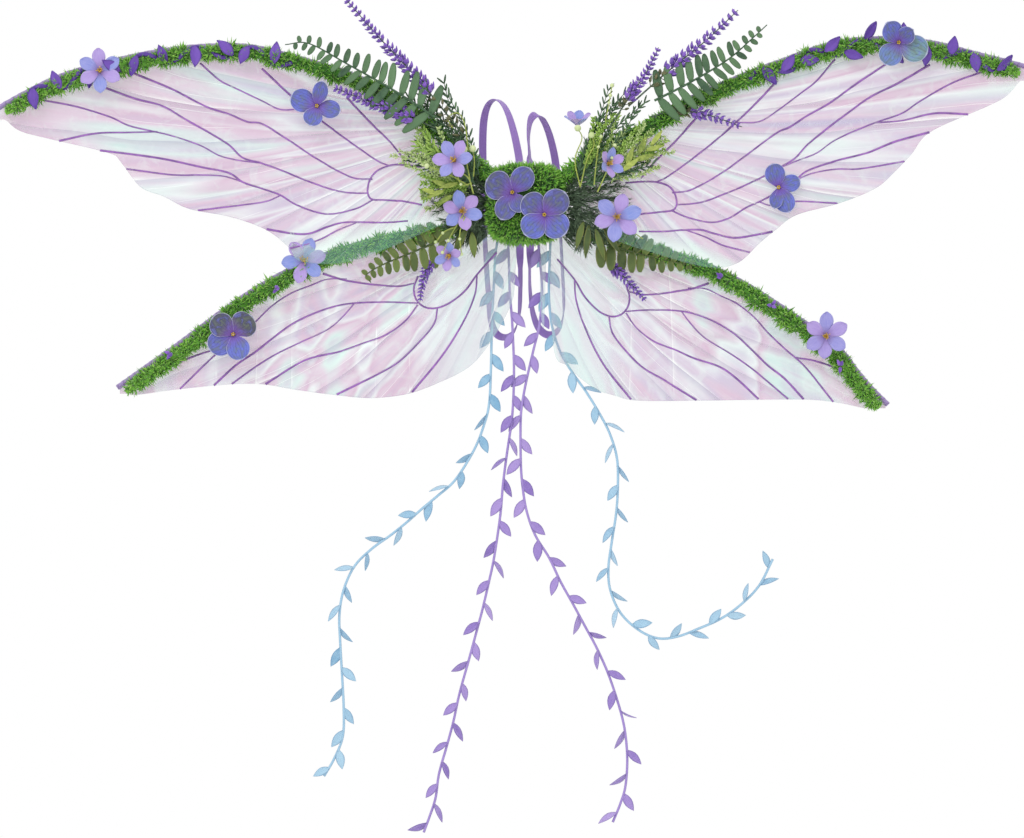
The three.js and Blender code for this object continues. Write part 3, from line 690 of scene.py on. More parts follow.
class Wing:
    """A wing's spar, trailing edge and film surface, read from its CAD nodes."""

    def __init__(self, name):
        self.name, self.body = name, name + "_wing"
        self.upper = name.startswith("upper")
        self.side = -1 if "left" in name else 1
        spar = np.array([c.mean(0) for c in clusters(name + "_spar_wire", 12 * MM)])
        self.spar = smooth_path(spar, 300)
        edge = clusters(name + "_film", 4 * MM)
        low = [c[np.argmin(c[:, 2])] for c in edge]
        if not self.upper:
            root = clusters(name + "_film_root", 1.5 * MM)
            low = [c[np.argmin(c[:, 2])] for c in root[:-1]] + low
        low = np.array(low)
        self.trail = smooth_path(low, 300)
        self.x0 = abs(low[0][0])
        self.x1 = abs(self.spar[-1][0]) - 3 * MM
        self.depth = np.array([[abs(c[0]), c[1]] for c in self.spar])

    def grid(self, s, t):
        """Points on the film for arrays of s and t, folds included."""
        x = self.x0 + s * (self.x1 - self.x0)
        lead, trail = self.edges(x)
        return self.lay(x, lead + t * (trail - lead))

    def edges(self, x):
        """Heights of the spar and of the trailing edge at x."""
        return (np.interp(x, np.abs(self.spar[:, 0]), self.spar[:, 2]),
                np.interp(x, np.abs(self.trail[:, 0]), self.trail[:, 2]))

    def lay(self, x, z):
        """Points of the folded film at x and z, x measured away from the middle of the back."""
        lead, trail = self.edges(x)
        t = np.clip((z - lead) / np.minimum(trail - lead, -1e-4), 0, 1)
        y = np.interp(x, self.depth[:, 0], self.depth[:, 1])
        fold = self.fold(x, z) * np.minimum(1, t * 5) * np.clip((x - self.x0) / 0.05, 0.15, 1)
        return np.stack([self.side * x, y + fold, z], -1)

    def fan(self, x, z):
        """Where a point lies across the film's bands, and how far it is from the root."""
        foot_x, foot_z = FILM_FOOT["upper" if self.upper else "lower"]
        return np.arctan2(z - foot_z, x - foot_x), np.hypot(x - foot_x, z - foot_z)

    def fold(self, x, z):
        """Depth of the film's pleats and creases, which run out from the root."""
        angle, reach = self.fan(x, z)
        ridge = lambda a: 1 - 2 * np.abs((a % 1) - 0.5) * 2
        offset = 0.37 if self.side > 0 else 0.0
        swing = angle + 0.05 * np.sin(reach * 9 + offset * 7)
        broad = np.sin(swing * 11 + offset * 9) * 2.2
        crease = ridge(swing * 4.3 + offset) * 1.6 + ridge(swing * 9.1 + 2 * offset) * 0.9
        flutter = np.sin(reach * 38 + angle * 14) * 0.8
        return (broad + crease + flutter) * MM * np.clip(reach / 0.22, 0.25, 1.15)

    def uv(self, grid):
        x, z = np.abs(grid[..., 0]), grid[..., 2]
        angle, reach = self.fan(x, z)
        return np.stack([reach, angle + 0.03 * np.sin(reach * 9) + BAND_START[self.name]], -1)

    def veil(self, x, z):
        """How much the film shows mint and clear: where it lies over the wing below, and at the
        foot of a lower wing."""
        if not self.upper:
            return 0.5 * np.clip((0.135 - x) / 0.06, 0, 1)
        below = WINGS[self.name.replace("upper", "lower")].spar
        top = np.interp(x, np.abs(below[:, 0]), below[:, 2]) + 0.022
        return np.clip((top - z) / 0.018, 0, 1)


UPPER_VEINS = {
    "cell": [(.11, .44), (.15, .45), (.18, .47), (.21, .52), (.225, .60), (.22, .67), (.19, .69),
             (.15, .71), (.11, .76)],
    "first": [(.145, .42), (.18, .31), (.22, .23), (.27, .13)],
    "second": [(.18, .47), (.21, .44), (.28, .34), (.34, .26), (.40, .19), (.45, .11)],
    "second_branch": [(.36, .24), (.41, .30), (.45, .29), (.51, .24), (.54, .20), (.58, .10)],
    "third": [(.215, .56), (.26, .55), (.33, .48), (.40, .44), (.45, .42), (.48, .43), (.52, .40),
              (.57, .36), (.64, .26), (.73, .12)],
    "fourth": [(.225, .64), (.28, .63), (.34, .60), (.40, .62), (.45, .64), (.49, .64), (.52, .58),
               (.56, .52), (.61, .45), (.66, .38), (.72, .34), (.79, .25)],
    "fourth_branch": [(.45, .64), (.50, .66), (.54, .65), (.58, .60), (.64, .57), (.68, .56),
                      (.73, .59), (.77, .60), (.84, .48), (.91, .30)],
    "fourth_tip": [(.67, .56), (.73, .65), (.80, .81), (.875, .995)],
    "fifth": [(.215, .68), (.25, .72), (.30, .745), (.34, .74), (.38, .73), (.41, .76), (.45, .78),
              (.49, .78), (.52, .745), (.58, .73), (.65, .74), (.71, .77), (.79, .995)],
    "fifth_branch": [(.49, .78), (.53, .77), (.58, .78), (.64, .83), (.735, .995)],
    "fifth_low": [(.41, .76), (.44, .84), (.49, .91), (.585, .995)],
    "sixth": [(.14, .86), (.19, .83), (.24, .80), (.28, .79), (.31, .81), (.36, .86), (.44, .995)],
    "sixth_branch": [(.25, .80), (.29, .83), (.33, .88), (.39, .995)],
}
LOWER_VEINS = {
    "cell": [(.05, .26), (.10, .37), (.13, .45), (.17, .50), (.205, .51), (.235, .48), (.255, .42),
             (.26, .35), (.25, .28)],
    "first": [(.26, .32), (.30, .32), (.35, .29), (.40, .25), (.44, .21), (.49, .13)],
    "first_branch": [(.43, .21), (.48, .18), (.52, .19), (.57, .20), (.62, .25), (.66, .34),
                     (.71, .44), (.77, .58), (.85, .995)],
    "second": [(.25, .45), (.30, .42), (.37, .39), (.44, .38), (.50, .40), (.56, .45), (.61, .54),
               (.66, .66), (.71, .77), (.765, .995)],
    "second_branch": [(.41, .38), (.44, .46), (.48, .54), (.55, .62), (.61, .71), (.66, .82),
                      (.72, .995)],
    "third": [(.25, .46), (.28, .54), (.33, .61), (.39, .65), (.45, .70), (.52, .74), (.57, .82),
              (.635, .995)],
    "fourth": [(.20, .51), (.21, .61), (.25, .70), (.30, .79), (.36, .86), (.455, .995)],
    "fifth": [(.10, .38), (.105, .50), (.125, .62), (.16, .75), (.20, .86), (.265, .995)],
    "tip": [(.74, .50), (.79, .45), (.85, .40), (.90, .32)],
}
VEIN_WIDTH = 2.5 * MM


def make_film(wing, rows, columns):
    """The film as one thin sheet with its veins."""
    s = np.linspace(0, 1, rows)[:, None]
    t = np.linspace(0.006, 1, columns)[None]
    grid = wing.grid(*np.broadcast_arrays(s, t))
    if wing.side > 0:
        grid = grid[:, ::-1]
    film = Soup()
    veil = wing.veil(np.abs(grid[..., 0]), grid[..., 2]).ravel()
    film.add(thin(grid, 0.35 * MM, wing.uv(grid)), np.tile(veil, 2))
    material = UPPER_FILM if wing.upper else LOWER_FILM
    sheet = film.make(wing.name + "_film_sheet", material, slot="iridescent_film")
    veins = Soup()
    routes = UPPER_VEINS if wing.upper else LOWER_VEINS
    for kind, route in routes.items():
        marks = np.array(route)
        route = smooth_path(wing.grid(marks[:, 0], marks[:, 1]), 14 * len(marks))
        path = wing.lay(np.abs(route[:, 0]), route[:, 2])
        way = np.linspace(0, 1, len(path))
        thick = VEIN_WIDTH / 2 * (0.8 if "branch" in kind or "low" in kind else 0.95)
        taper = 1.0 if kind == "cell" else 0.85 + 0.35 * way
        veins.add(tube(path, thick * taper, 6, flat=0.28))
    lines = veins.make(wing.name + "_film_veins", VEIN, slot="purple_tape")
    hub_nodes = [] if wing.upper else [wing.name + "_film_root"]
    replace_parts(sheet, wing.name + "_film", *hub_nodes)
    for piece in (sheet, lines):
        if hub_nodes:
            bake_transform(piece)
        else:
            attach(piece, wing.body)


def make_spar(wing):
    """Satin tape wound on the wire, each turn a little proud of the next."""
    path = resample(wing.spar, 340)
    turns = np.linspace(0, 1, len(path)) * 60
    radius = (3.0 + 0.5 * (turns % 1)) * MM
    _, side, forward = frames(path)
    sides = 12
    a = 2 * np.pi * np.arange(sides) / sides
    wall = lambda r: (path[:, None] + (side[:, None] * np.cos(a)[None, :, None]
                      + forward[:, None] * np.sin(a)[None, :, None]) * r[:, None, None])
    outer, inner = wall(radius), wall(np.full(len(path), 1.8 * MM))
    size = outer.shape[0] * sides
    j = np.arange(sides)
    k = (j + 1) % sides
    last = size - sides
    faces = [
        grid_quads(len(path), sides, wrap=True),
        grid_quads(len(path), sides, wrap=True)[:, ::-1] + size,
        np.stack([j, k, k + size, j + size], 1),
        np.stack([last + k, last + j, last + j + size, last + k + size], 1),
    ]
    uv = np.stack(np.meshgrid(np.linspace(0, 1, len(path)), j / sides, indexing="ij"), -1)
    wrap = Soup()
    wrap.add((np.vstack([outer.reshape(-1, 3), inner.reshape(-1, 3)]), faces,
              np.vstack([uv.reshape(-1, 2)] * 2)))
    piece = wrap.make(wing.name + "_spar_wrap", TAPE, wing.body, "purple_tape")
    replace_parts(piece, wing.name + "_spar_tape")


# ---------------------------------------------------------------- moss

def moss_blades(soup, base, direction, length, width, curl):
    """Curled three-sided blades, one for each row of base and direction."""
    count = len(base)
    stray = unit(np.cross(direction, rng.normal(size=(count, 3))))
    other = np.cross(direction, stray)
    middle_at = base + direction * (length * 0.55)[:, None] + stray * (curl * 0.3)[:, None]
    end_at = base + direction * length[:, None] + stray * curl[:, None]
    corner = 2 * np.pi * np.arange(3) / 3
    ring = (other[:, None] * np.cos(corner)[None, :, None]
            + stray[:, None] * (0.45 * np.sin(corner))[None, :, None])
    low = base[:, None] + ring * (width * 0.6)[:, None, None]
    mid = middle_at[:, None] + ring * width[:, None, None]
    v = np.concatenate([low, mid, end_at[:, None]], 1).reshape(-1, 3)
    quads = np.array([[0, 1, 4, 3], [1, 2, 5, 4], [2, 0, 3, 5]])
    tips = np.array([[0, 2, 1], [3, 4, 6], [4, 5, 6], [5, 3, 6]])
    start = 7 * np.arange(count)[:, None, None]
    faces = [(quads[None] + start).reshape(-1, 4), (tips[None] + start).reshape(-1, 3)]
    along = np.tile([0.1, 0.1, 0.1, 0.6, 0.6, 0.6, 1.0], count)
    uv = np.stack([along, np.full_like(along, 0.5)], 1)
    soup.add((v, faces, uv), np.repeat(rng.uniform(0, 1, count), 7))


def moss_along(path, side, forward, full, count, soup):
    """Core and blades of moss laid along a path, facing forward."""
    way = np.linspace(0, 1, len(path))
    lumps = full * (1 + 0.14 * np.sin(way * 61) + 0.12 * np.sin(way * 143) + 0.06 * np.sin(way * 330))
    soup.add(tube(path, 6.0 * MM * lumps, 10, flat=0.7), 0.0)
    at = rng.uniform(0, len(path) - 1.001, count)
    at = at + 0.35 * np.sin(at * 2.3) * (len(path) > 60)
    i = np.clip(at, 0, len(path) - 1).astype(int)
    angle = rng.uniform(-0.8, math.pi + 0.8, count)
    radial = side[i] * np.cos(angle)[:, None] + forward[i] * np.sin(angle)[:, None]
    tangent = unit(np.gradient(path, axis=0))
    base = path[i] + radial * (lumps[i] * 4.4 * MM)[:, None]
    direction = unit(radial + tangent[i] * rng.normal(0, 0.75, count)[:, None]
                     + rng.normal(0, 0.4, (count, 3)))
    length = rng.uniform(6.5, 11, count) * MM * lumps[i]
    moss_blades(soup, base, direction, length, rng.uniform(0.8, 1.5, count) * MM,
                rng.normal(0, 2.6 * MM, count))


def make_garland(wing, count):
    """Chenille moss on the front of the spar, from hub to near the tip."""
    low, high = (np.array(c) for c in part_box(wing.name + "_moss_garland"))
    reach = np.abs(wing.spar[:, 0])
    first = np.searchsorted(reach, min(abs(low[0]), abs(high[0])))
    path = resample(wing.spar[first:-3], 120)
    _, side, forward = frames(path)
    side = side * wing.side
    way = np.linspace(0, 1, len(path))
    full = np.minimum(1, 0.62 + 6 * np.minimum(way, 1 - way))
    soup = Soup()
    down = -side * np.sign(side[:, 2:])
    hang = (3.5 + 6.5 * np.minimum(1, way * 1.3))[:, None] * MM
    moss_along(path + forward * 7.5 * MM + down * hang, side, forward, full, count, soup)
    piece = soup.make(wing.name + "_moss", MOSS, wing.body, "green_moss")
    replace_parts(piece, wing.name + "_moss_garland")


def make_collar(wing):
    """Moss from the hub's yoke to the foot of an upper spar."""
    centres = []
    for c in clusters("upper_yoke", 4 * MM):
        own = c[c[:, 0] * wing.side > 1 * MM]
        if len(own):
            centres.append(own.mean(0))
    centres = [c for c in centres if abs(c[0]) > 24 * MM]
    path = smooth_path(centres + [wing.spar[8], wing.spar[22]], 40)
    _, side, forward = frames(path)
    side = side * wing.side
    soup = Soup()
    moss_along(path + forward * 7.5 * MM, side, forward, np.full(len(path), 0.95), 420, soup)
    piece = soup.make(wing.name + "_moss_collar", MOSS, slot="green_moss")
    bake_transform(piece)


def squircle(angle):
    """Reach of a rounded square of half side 1 at an angle."""
    corner = np.abs(np.cos(angle)) ** ROUNDING + np.abs(np.sin(angle)) ** ROUNDING
    return 1 / corner ** (1 / ROUNDING)


def pad_ring(y, wide, tall):
    """Rounded square ring at y, wide and tall being half its width and height."""
    a = 2 * np.pi * np.arange(40) / 40
    return np.stack([np.cos(a) * squircle(a) * wide, np.full(40, y), np.sin(a) * squircle(a) * tall], 1)


def make_moss_pad(count):
    """Pad of moss over the hub, with blades all round its front and sides."""
    low, high = box("moss_pad")
    half = (high - low) / 2
    centre = (high + low) / 2
    rings = []
    for row in np.linspace(0, 1, 9):
        spread = math.cos(row * 1.35) ** 0.35 * 0.93
        y = high[1] - 2 * MM - row * (high[1] - low[1] - 3 * MM)
        rings.append(pad_ring(y, half[0] * spread, half[2] * spread) + centre * np.array([1, 0, 1]))
    soup = Soup()
    # The pad's shell has no uv, so it takes the darkest painted shade of the moss.
    soup.add(loft(rings, inward=True), 0.0)
    spot = rng.uniform(-1, 1, (count, 2))
    spot /= np.maximum(1, (np.abs(spot) ** ROUNDING).sum(1) ** (1 / ROUNDING))[:, None]
    for bloom in ("centre_hydrangea_left", "centre_hydrangea_right"):
        off = centre[[0, 2]] + spot * half[[0, 2]] - (sum(box(bloom)) / 2)[[0, 2]]
        spot = spot[np.hypot(off[:, 0], off[:, 1]) > 22 * MM]
    count = len(spot)
    edge = (np.abs(spot) ** ROUNDING).sum(1) ** (1 / ROUNDING)
    side_on = rng.uniform(0, 1, count) < 0.34
    spot[side_on] /= edge[side_on][:, None]
    edge = np.where(side_on, 1.0, edge)
    y = np.where(side_on, rng.uniform(low[1] + 5 * MM, 0.0 - 6 * MM, count), low[1] + 5 * MM * edge**3)
    base = np.stack([centre[0] + spot[:, 0] * half[0] * 0.9, y, centre[2] + spot[:, 1] * half[2] * 0.9], 1)
    outward = np.stack([spot[:, 0] * edge**3, np.where(side_on, -0.15, -0.8), spot[:, 1] * edge**3], 1)
    direction = unit(outward + rng.normal(0, 0.38, (count, 3)))
    moss_blades(soup, base, direction, rng.uniform(6, 11, count) * MM,
                rng.uniform(0.8, 1.5, count) * MM, rng.normal(0, 2.8 * MM, count))
    piece = soup.make("moss_pad_chenille", MOSS, "hub", "green_moss")
    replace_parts(piece, "moss_pad")


CORE_RINGS = [  # y and half width and height in mm, from the felt to the pad
    (-6.2, 29, 33), (-7.2, 36, 38), (-11, 40, 40), (-20, 41, 41), (-31, 41, 41), (-36.5, 38, 38)]


def make_moss_core(count):
    """Moss packed round the yokes, between the pad and the felt."""
    soup = Soup()
    # The core's shell has no uv, so it takes the darkest painted shade of the moss.
    soup.add(loft([pad_ring(y * MM, wide * MM, tall * MM) for y, wide, tall in CORE_RINGS], inward=True))
    turn = rng.uniform(0, 2 * np.pi, count)
    out = np.stack([np.cos(turn), 0 * turn, np.sin(turn)], 1)
    y = rng.uniform(-34, -7, count)
    reach = np.where(y > -9, 36, 39.5) * MM
    base = out * (squircle(turn) * reach)[:, None]
    base[:, 1] = y * MM
    direction = unit(out + rng.normal(0, 0.4, (count, 3)) * np.array([1, 0.7, 1]))
    moss_blades(soup, base, direction, rng.uniform(6, 10, count) * MM,
                rng.uniform(0.8, 1.5, count) * MM, rng.normal(0, 2.4 * MM, count))
    soup.make("moss_core_chenille", MOSS, "hub", "green_moss")


# ---------------------------------------------------------------- flowers

def facing_axes(facing, turn):
    """Two directions square to facing, turned about it."""
    facing = unit(np.asarray(facing, float))
    up = np.array([0, 0, 1.0]) if abs(facing[2]) < 0.9 else np.array([1.0, 0, 0])
    right = unit(np.cross(up, facing))
    up = np.cross(facing, right)
    return turned(right, up, turn), turned(up, -right, turn)


def make_hydrangea(node_name, body, petals, facing=(0, -1, 0.05)):
    """Hydrangea bloom. petals are (degrees, length, width in mm, lift, shade), back ones first."""
    low, high = box(node_name)
    centre = (low + high) / 2
    centre[1] = high[1]
    facing = unit(np.asarray(facing, float))
    right, up = facing_axes(facing, 0)
    soup = Soup()
    for i, (degrees, length, width, lift, shade) in enumerate(petals):
        angle = math.radians(degrees)
        along = turned(right, up, angle)
        shell = blade("round", length * 1.14 * MM, width * 1.16 * MM, 16, 13, cup=0.10, ripple=0.02,
                      tip=0.02, thickness=0.45 * MM, phase=i * 1.7,
                      fold=0.04 + 0.25 * max(0, lift - 0.4))
        origin = centre + facing * (0.5 + 0.6 * i) * MM + along * 0.6 * MM
        soup.add(placed(shell, origin, along + facing * lift, facing - along * lift), shade)
    bloom = soup.make(node_name + "_petals", HYDRANGEA, body, "hydrangea_silk")
    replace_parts(bloom, node_name)
    heart = Soup()
    for i in range(5):
        a = i * 2 * math.pi / 5
        offset = turned(right, up, a) * 1.5 * MM
        heart.add(bud(centre + facing * 2.4 * MM + offset, facing, 3.4 * MM, 1.1 * MM), 0.8)
    heart.make(node_name + "_heart", STAMEN, body, "frosted_green")


def make_blossom(name, body, centre, radius, facing, turn, open_by=0.25, slot="lilac_silk",
                 replaced=None, start_tone=0.0):
    """Silk flower of six petals, lilac and periwinkle in turn, with yellow stamens."""
    facing = unit(np.asarray(facing, float))
    right, up = facing_axes(facing, turn)
    soup = Soup()
    for i in range(6):
        angle = i * math.pi / 3 + rng.uniform(-0.07, 0.07)
        along = turned(right, up, angle)
        lift = open_by + rng.uniform(-0.08, 0.08)
        shell = blade("oval", radius * rng.uniform(0.95, 1.05), radius * 0.62, 10, 7, cup=0.10,
                      ripple=0.025, tip=0.05, droop=0.06, fold=0.14, phase=i * 2.1)
        shade = abs(start_tone - (i % 2)) + rng.uniform(-0.12, 0.12)
        soup.add(placed(shell, centre + along * 1.2 * MM, along + facing * lift, facing - along * lift),
                 float(np.clip(shade, 0, 1)))
    bloom = soup.make(name, PETAL, body, slot)
    if replaced:
        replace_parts(bloom, replaced)
    eye = Soup()
    for i in range(11):
        a = i * 2.4
        lean = turned(right, up, a)
        along = unit(facing + lean * rng.uniform(0.2, 0.8))
        base = centre + facing * 0.5 * MM
        end = base + along * radius * rng.uniform(0.2, 0.3)
        eye.add(tube(np.linspace(base, end, 3), 0.35 * MM, 4), 0.6)
        eye.add(bud(end, along, 2.2 * MM, 0.8 * MM, 4), rng.uniform(0.4, 1))
    eye.add(bud(centre, facing, 3 * MM, 2.4 * MM, 7), 0.1)
    eye.make(name + "_stamens", STAMEN, body, "frosted_green")


def cad_blossom(node_name, body, facing=(0, -1, 0), turn=0.0, open_by=0.25, start_tone=0.0,
                slot="lilac_silk", shift=(0, 0)):
    """Blossom in place of a CAD node, its middle moved by shift (x, z in mm)."""
    low, high = box(node_name)
    centre = (low + high) / 2 + np.array([shift[0], 0, shift[1]]) * MM
    centre[1] = high[1] - 1 * MM
    radius = max(high[0] - low[0], high[2] - low[2]) / 2 * 1.04
    make_blossom(node_name + "_petals", body, centre, radius, facing, turn, open_by, slot,
                 node_name, start_tone)


# ---------------------------------------------------------------- greenery

def make_fern(node_name, wing, points, pairs, longest, width, material=FERN):
    """Frond: a stem with pairs of blunt leaflets that shorten to its tip. Sizes are in mm."""
    soup = Soup()
    path = smooth_path(route(wing, points), 80)
    longest, width = longest * MM, width * MM
    way = np.linspace(0, 1, len(path))
    soup.add(tube(path, (1.5 - 0.9 * way) * MM, 6), 0.1)
    tangent, side, forward = frames(path)
    for i in range(pairs):
        u = 0.05 + 0.94 * (i / pairs) ** 0.92
        length = longest * (1.0 - 0.86 * u) * rng.uniform(0.9, 1.08)
        for hand in (-1, 1):
            at = int(np.clip(u + hand * 0.012, 0, 1) * (len(path) - 1))
            along = (side[at] * hand + tangent[at] * rng.uniform(0.15, 0.4)
                     + forward[at] * rng.uniform(-0.15, 0.25))
            normal = forward[at] + side[at] * hand * rng.uniform(-0.1, 0.5)
            shell = blade("oblong", length, width * (1 - 0.55 * u), 9, 5, fold=0.3, cup=-0.08,
                          droop=rng.uniform(0, 0.2), ripple=0.02, thickness=0.5 * MM, phase=i)
            soup.add(placed(shell, path[at], along, normal), rng.uniform(0, 1))
    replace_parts(soup.make(node_name + "_fronds", material, wing.body, "fern_green"), node_name)


def make_lavender(node_name, wing, points, head_from, whorls, size, pods=0):
    """Lavender: a stem with tiers of forked buds that close up towards the tip, over olive pods."""
    name, body, size = node_name + "_buds", wing.body, size * MM
    path = smooth_path(route(wing, points), 100)
    way = np.linspace(0, 1, len(path))
    stem = Soup()
    stem.add(tube(path, (1.1 - 0.6 * way) * MM, 6), 0.0)
    stem.make(name + "_stem", NEEDLE, body, "fern_green")
    tangent, side, forward = frames(path)
    heads, unopened = Soup(), Soup()
    for i in range(-pods, whorls):
        u = head_from + (1 - head_from) * (i + 0.2) / whorls if i >= 0 else head_from + 0.045 * i
        at = int(np.clip(u, 0.02, 0.99) * (len(path) - 1))
        left = 1 - 0.62 * i / whorls if i >= 0 else 0.85
        soup = heads if i >= 0 else unopened
        for k in range(6 if i >= 0 else 3):
            a = k * (1.047 if i >= 0 else 2.1) + i * 0.7
            out = turned(side[at], forward[at], a)
            branch = unit(out + tangent[at] * rng.uniform(0.3, 0.8))
            fork = path[at] + branch * size * 0.4 * left
            soup.add(tube(np.linspace(path[at], fork, 3), 0.45 * MM, 4), 0.1)
            for turn in (-1, 0, 1):
                along = unit(branch + tangent[at] * 0.6 + np.cross(branch, tangent[at]) * turn * 0.5)
                soup.add(bud(fork, along, size * 0.6 * left * rng.uniform(0.8, 1.2),
                             size * 0.14 * max(left, 0.6), 5), rng.uniform(0, 1))
    if pods:
        unopened.make(name + "_pods", OLIVE_POD, body, "fern_green")
    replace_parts(heads.make(name, LAVENDER, body, "lavender_purple"), node_name)


def spray(soup, root, aim, spread, count, length, make):
    """count stems that fan out from root about aim. make(soup, path) dresses each."""
    aim = unit(np.asarray(aim, float))
    for i in range(count):
        swing = spread * (2 * (i + 0.5) / count - 1) + rng.uniform(-0.08, 0.08)
        flat = turned(aim, np.cross(FRONT, aim), swing)
        far = length * rng.uniform(0.7, 1.05)
        lift = FRONT * rng.uniform(-3, 5) * MM
        start = np.asarray(root) + rng.normal(0, 2.0, 3) * MM
        bend = np.cross(FRONT, flat) * far * rng.uniform(-0.12, 0.12)
        half = start + flat * far * 0.5 + lift + bend
        make(soup, smooth_path([start, half, start + flat * far + lift * 0.6], 14))


def needles(soup, path):
    """Dark stem with short needles all round, leaning towards its tip."""
    way = np.linspace(0, 1, len(path))
    soup.add(tube(path, (0.9 - 0.5 * way) * MM, 4), 0.0)
    tangent, side, forward = frames(path)
    count = 80
    i = rng.integers(1, len(path), count)
    a = rng.uniform(0, 2 * math.pi, count)
    out = side[i] * np.cos(a)[:, None] + forward[i] * np.sin(a)[:, None]
    base = path[i] + (path[i - 1] - path[i]) * rng.uniform(0, 1, count)[:, None]
    direction = unit(out * rng.uniform(0.4, 1.0, count)[:, None] + tangent[i])
    moss_blades(soup, base, direction, rng.uniform(8, 14, count) * MM, np.full(count, 0.55 * MM),
                rng.normal(0, 0.8 * MM, count))


def leafy(soup, path):
    """Stem with narrow leaves left and right in turn."""
    way = np.linspace(0, 1, len(path))
    soup.add(tube(path, (0.9 - 0.5 * way) * MM, 4), 0.1)
    tangent, side, forward = frames(path)
    count = 2 * len(path)
    for i in range(count):
        at = 1 + int(i / count * (len(path) - 1))
        hand = 1 if i % 2 else -1
        along = side[at] * hand * rng.uniform(0.3, 0.9) + tangent[at] + forward[at] * rng.uniform(-0.2, 0.5)
        shell = blade("oblong", rng.uniform(8, 12) * MM, rng.uniform(1.7, 2.5) * MM, 5, 3, fold=0.3,
                      droop=rng.uniform(0, 0.15))
        soup.add(placed(shell, path[at], along, forward[at] + side[at] * hand * 0.3), rng.uniform(0, 1))


def frosted(soup, path):
    """Grass stem with pale grains."""
    way = np.linspace(0, 1, len(path))
    soup.add(tube(path, (0.8 - 0.4 * way) * MM, 4), 0.1)
    tangent, side, forward = frames(path)
    for at in range(2, len(path)):
        for k in range(6):
            a = k * 1.05 + at * 0.8
            out = turned(side[at], forward[at], a)
            base = path[at] + (path[at - 1] - path[at]) * rng.uniform(0, 1) + out * 0.5 * MM
            soup.add(bud(base, out + tangent[at] * 0.9, rng.uniform(3, 5.5) * MM, 1.0 * MM, 4),
                     rng.uniform(0.1, 1))


# ---------------------------------------------------------------- build: wings

WINGS = {name: Wing(name) for name in ("upper_left", "upper_right", "lower_left", "lower_right")}
UL, UR, LL, LR = WINGS.values()


def on(wing, x, z, lift):
    """Point lift metres in front of a wing's film."""
    y = np.interp(abs(x), wing.depth[:, 0], wing.depth[:, 1])
    return np.array([x, y - lift, z])


def route(wing, points):
    """Points on() a wing, given in millimetres as x, z and lift."""
    return [on(wing, x * MM, z * MM, lift * MM) for x, z, lift in points]


for wing in WINGS.values():
    make_spar(wing)
    make_film(wing, 190 if wing.upper else 170, 90)
    make_garland(wing, 3200 if wing.upper else 2600)
    if wing.upper:
        make_collar(wing)
make_moss_pad(3000)
make_moss_core(1300)


# ---------------------------------------------------------------- build: vines of purple leaves

def make_vine(wing, start, end, turns, leaves):
    """Flat ribbon that winds round the moss, with a leaf at each side in turn."""
    path = resample(wing.spar[int(start * 299):int(end * 299)], 200)
    _, side, forward = frames(path)
    way = np.linspace(0, 1, len(path))
    swing = way * turns * 2 * np.pi
    down = -side * np.sign(side[:, 2:])
    path = (path + side * np.sin(swing)[:, None] * 7 * MM + down * 8 * MM
            + forward * (10.5 + 3.5 * np.cos(swing * 1.5))[:, None] * MM)
    tangent, side, forward = frames(path)
    soup = Soup()
    soup.add(tube(path, 2.4 * MM, 8, flat=0.3), 0.0)
    for i in range(leaves):
        at = int((i + 0.5 + rng.uniform(-0.2, 0.2)) / leaves * (len(path) - 1))
        hand = 1 if i % 2 else -1
        lean = rng.uniform(0.7, 1.3)
        along = turned(tangent[at], side[at] * hand, lean) + forward[at] * 0.15
        normal = forward[at] - side[at] * hand * 0.2 + rng.normal(0, 0.2, 3)
        shell = blade("leaf", rng.uniform(21, 26) * MM, rng.uniform(12, 14.5) * MM, 12, 7, fold=0.3,
                      droop=rng.uniform(0, 0.2), ripple=0.04, thickness=0.6 * MM, phase=i)
        soup.add(placed(shell, path[at] + forward[at] * 7.5 * MM, along, normal), rng.uniform(0.3, 1))
    piece = soup.make(wing.name + "_vine_leaves", VINE, wing.body, "vine_purple")
    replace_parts(piece, wing.name + "_leaf_vine")


make_vine(UL, 0.42, 0.95, 5, 10)
make_vine(UR, 0.42, 0.965, 5, 12)


# ---------------------------------------------------------------- build: flowers

make_hydrangea("upper_left_hydrangea", UL.body, [
    (345, 26, 19, 0.25, 0.5), (160, 28, 24, 0.1, 0.6), (252, 22, 20, 0.2, 0.55), (74, 28, 16, 0.5, 0.5)])
make_hydrangea("upper_right_tip_hydrangea", UR.body, [
    (338, 31, 28, 0.1, 1.0), (236, 27, 24, 0.1, 0.85), (40, 24, 18, 0.9, 0.4), (128, 29, 22, 0.75, 0.6)])
make_hydrangea("upper_right_film_hydrangea", UR.body, [
    (258, 24, 14, 0.3, 0.5), (18, 23, 18, 0.15, 0.6), (106, 25, 21, 0.2, 0.55), (292, 28, 21, 0.1, 0.6)])
make_hydrangea("lower_left_hydrangea", LL.body, [
    (215, 29, 26, 0.1, 0.5), (290, 28, 24, 0.15, 0.65), (42, 27, 28, 0.15, 0.0), (142, 27, 25, 0.1, 0.05)])
make_hydrangea("centre_hydrangea_left", "hub", [
    (296, 24, 18, 0.3, 0.4), (52, 31, 24, 0.25, 0.35), (248, 31, 22, 0.15, 0.3), (155, 29, 30, 0.1, 0.2)])
make_hydrangea("centre_hydrangea_right", "hub", [
    (140, 28, 27, 0.1, 0.3), (318, 29, 28, 0.1, 0.55), (225, 29, 27, 0.12, 0.6), (48, 31, 27, 0.12, 0.25)],
    facing=(0.08, -1, -0.05))

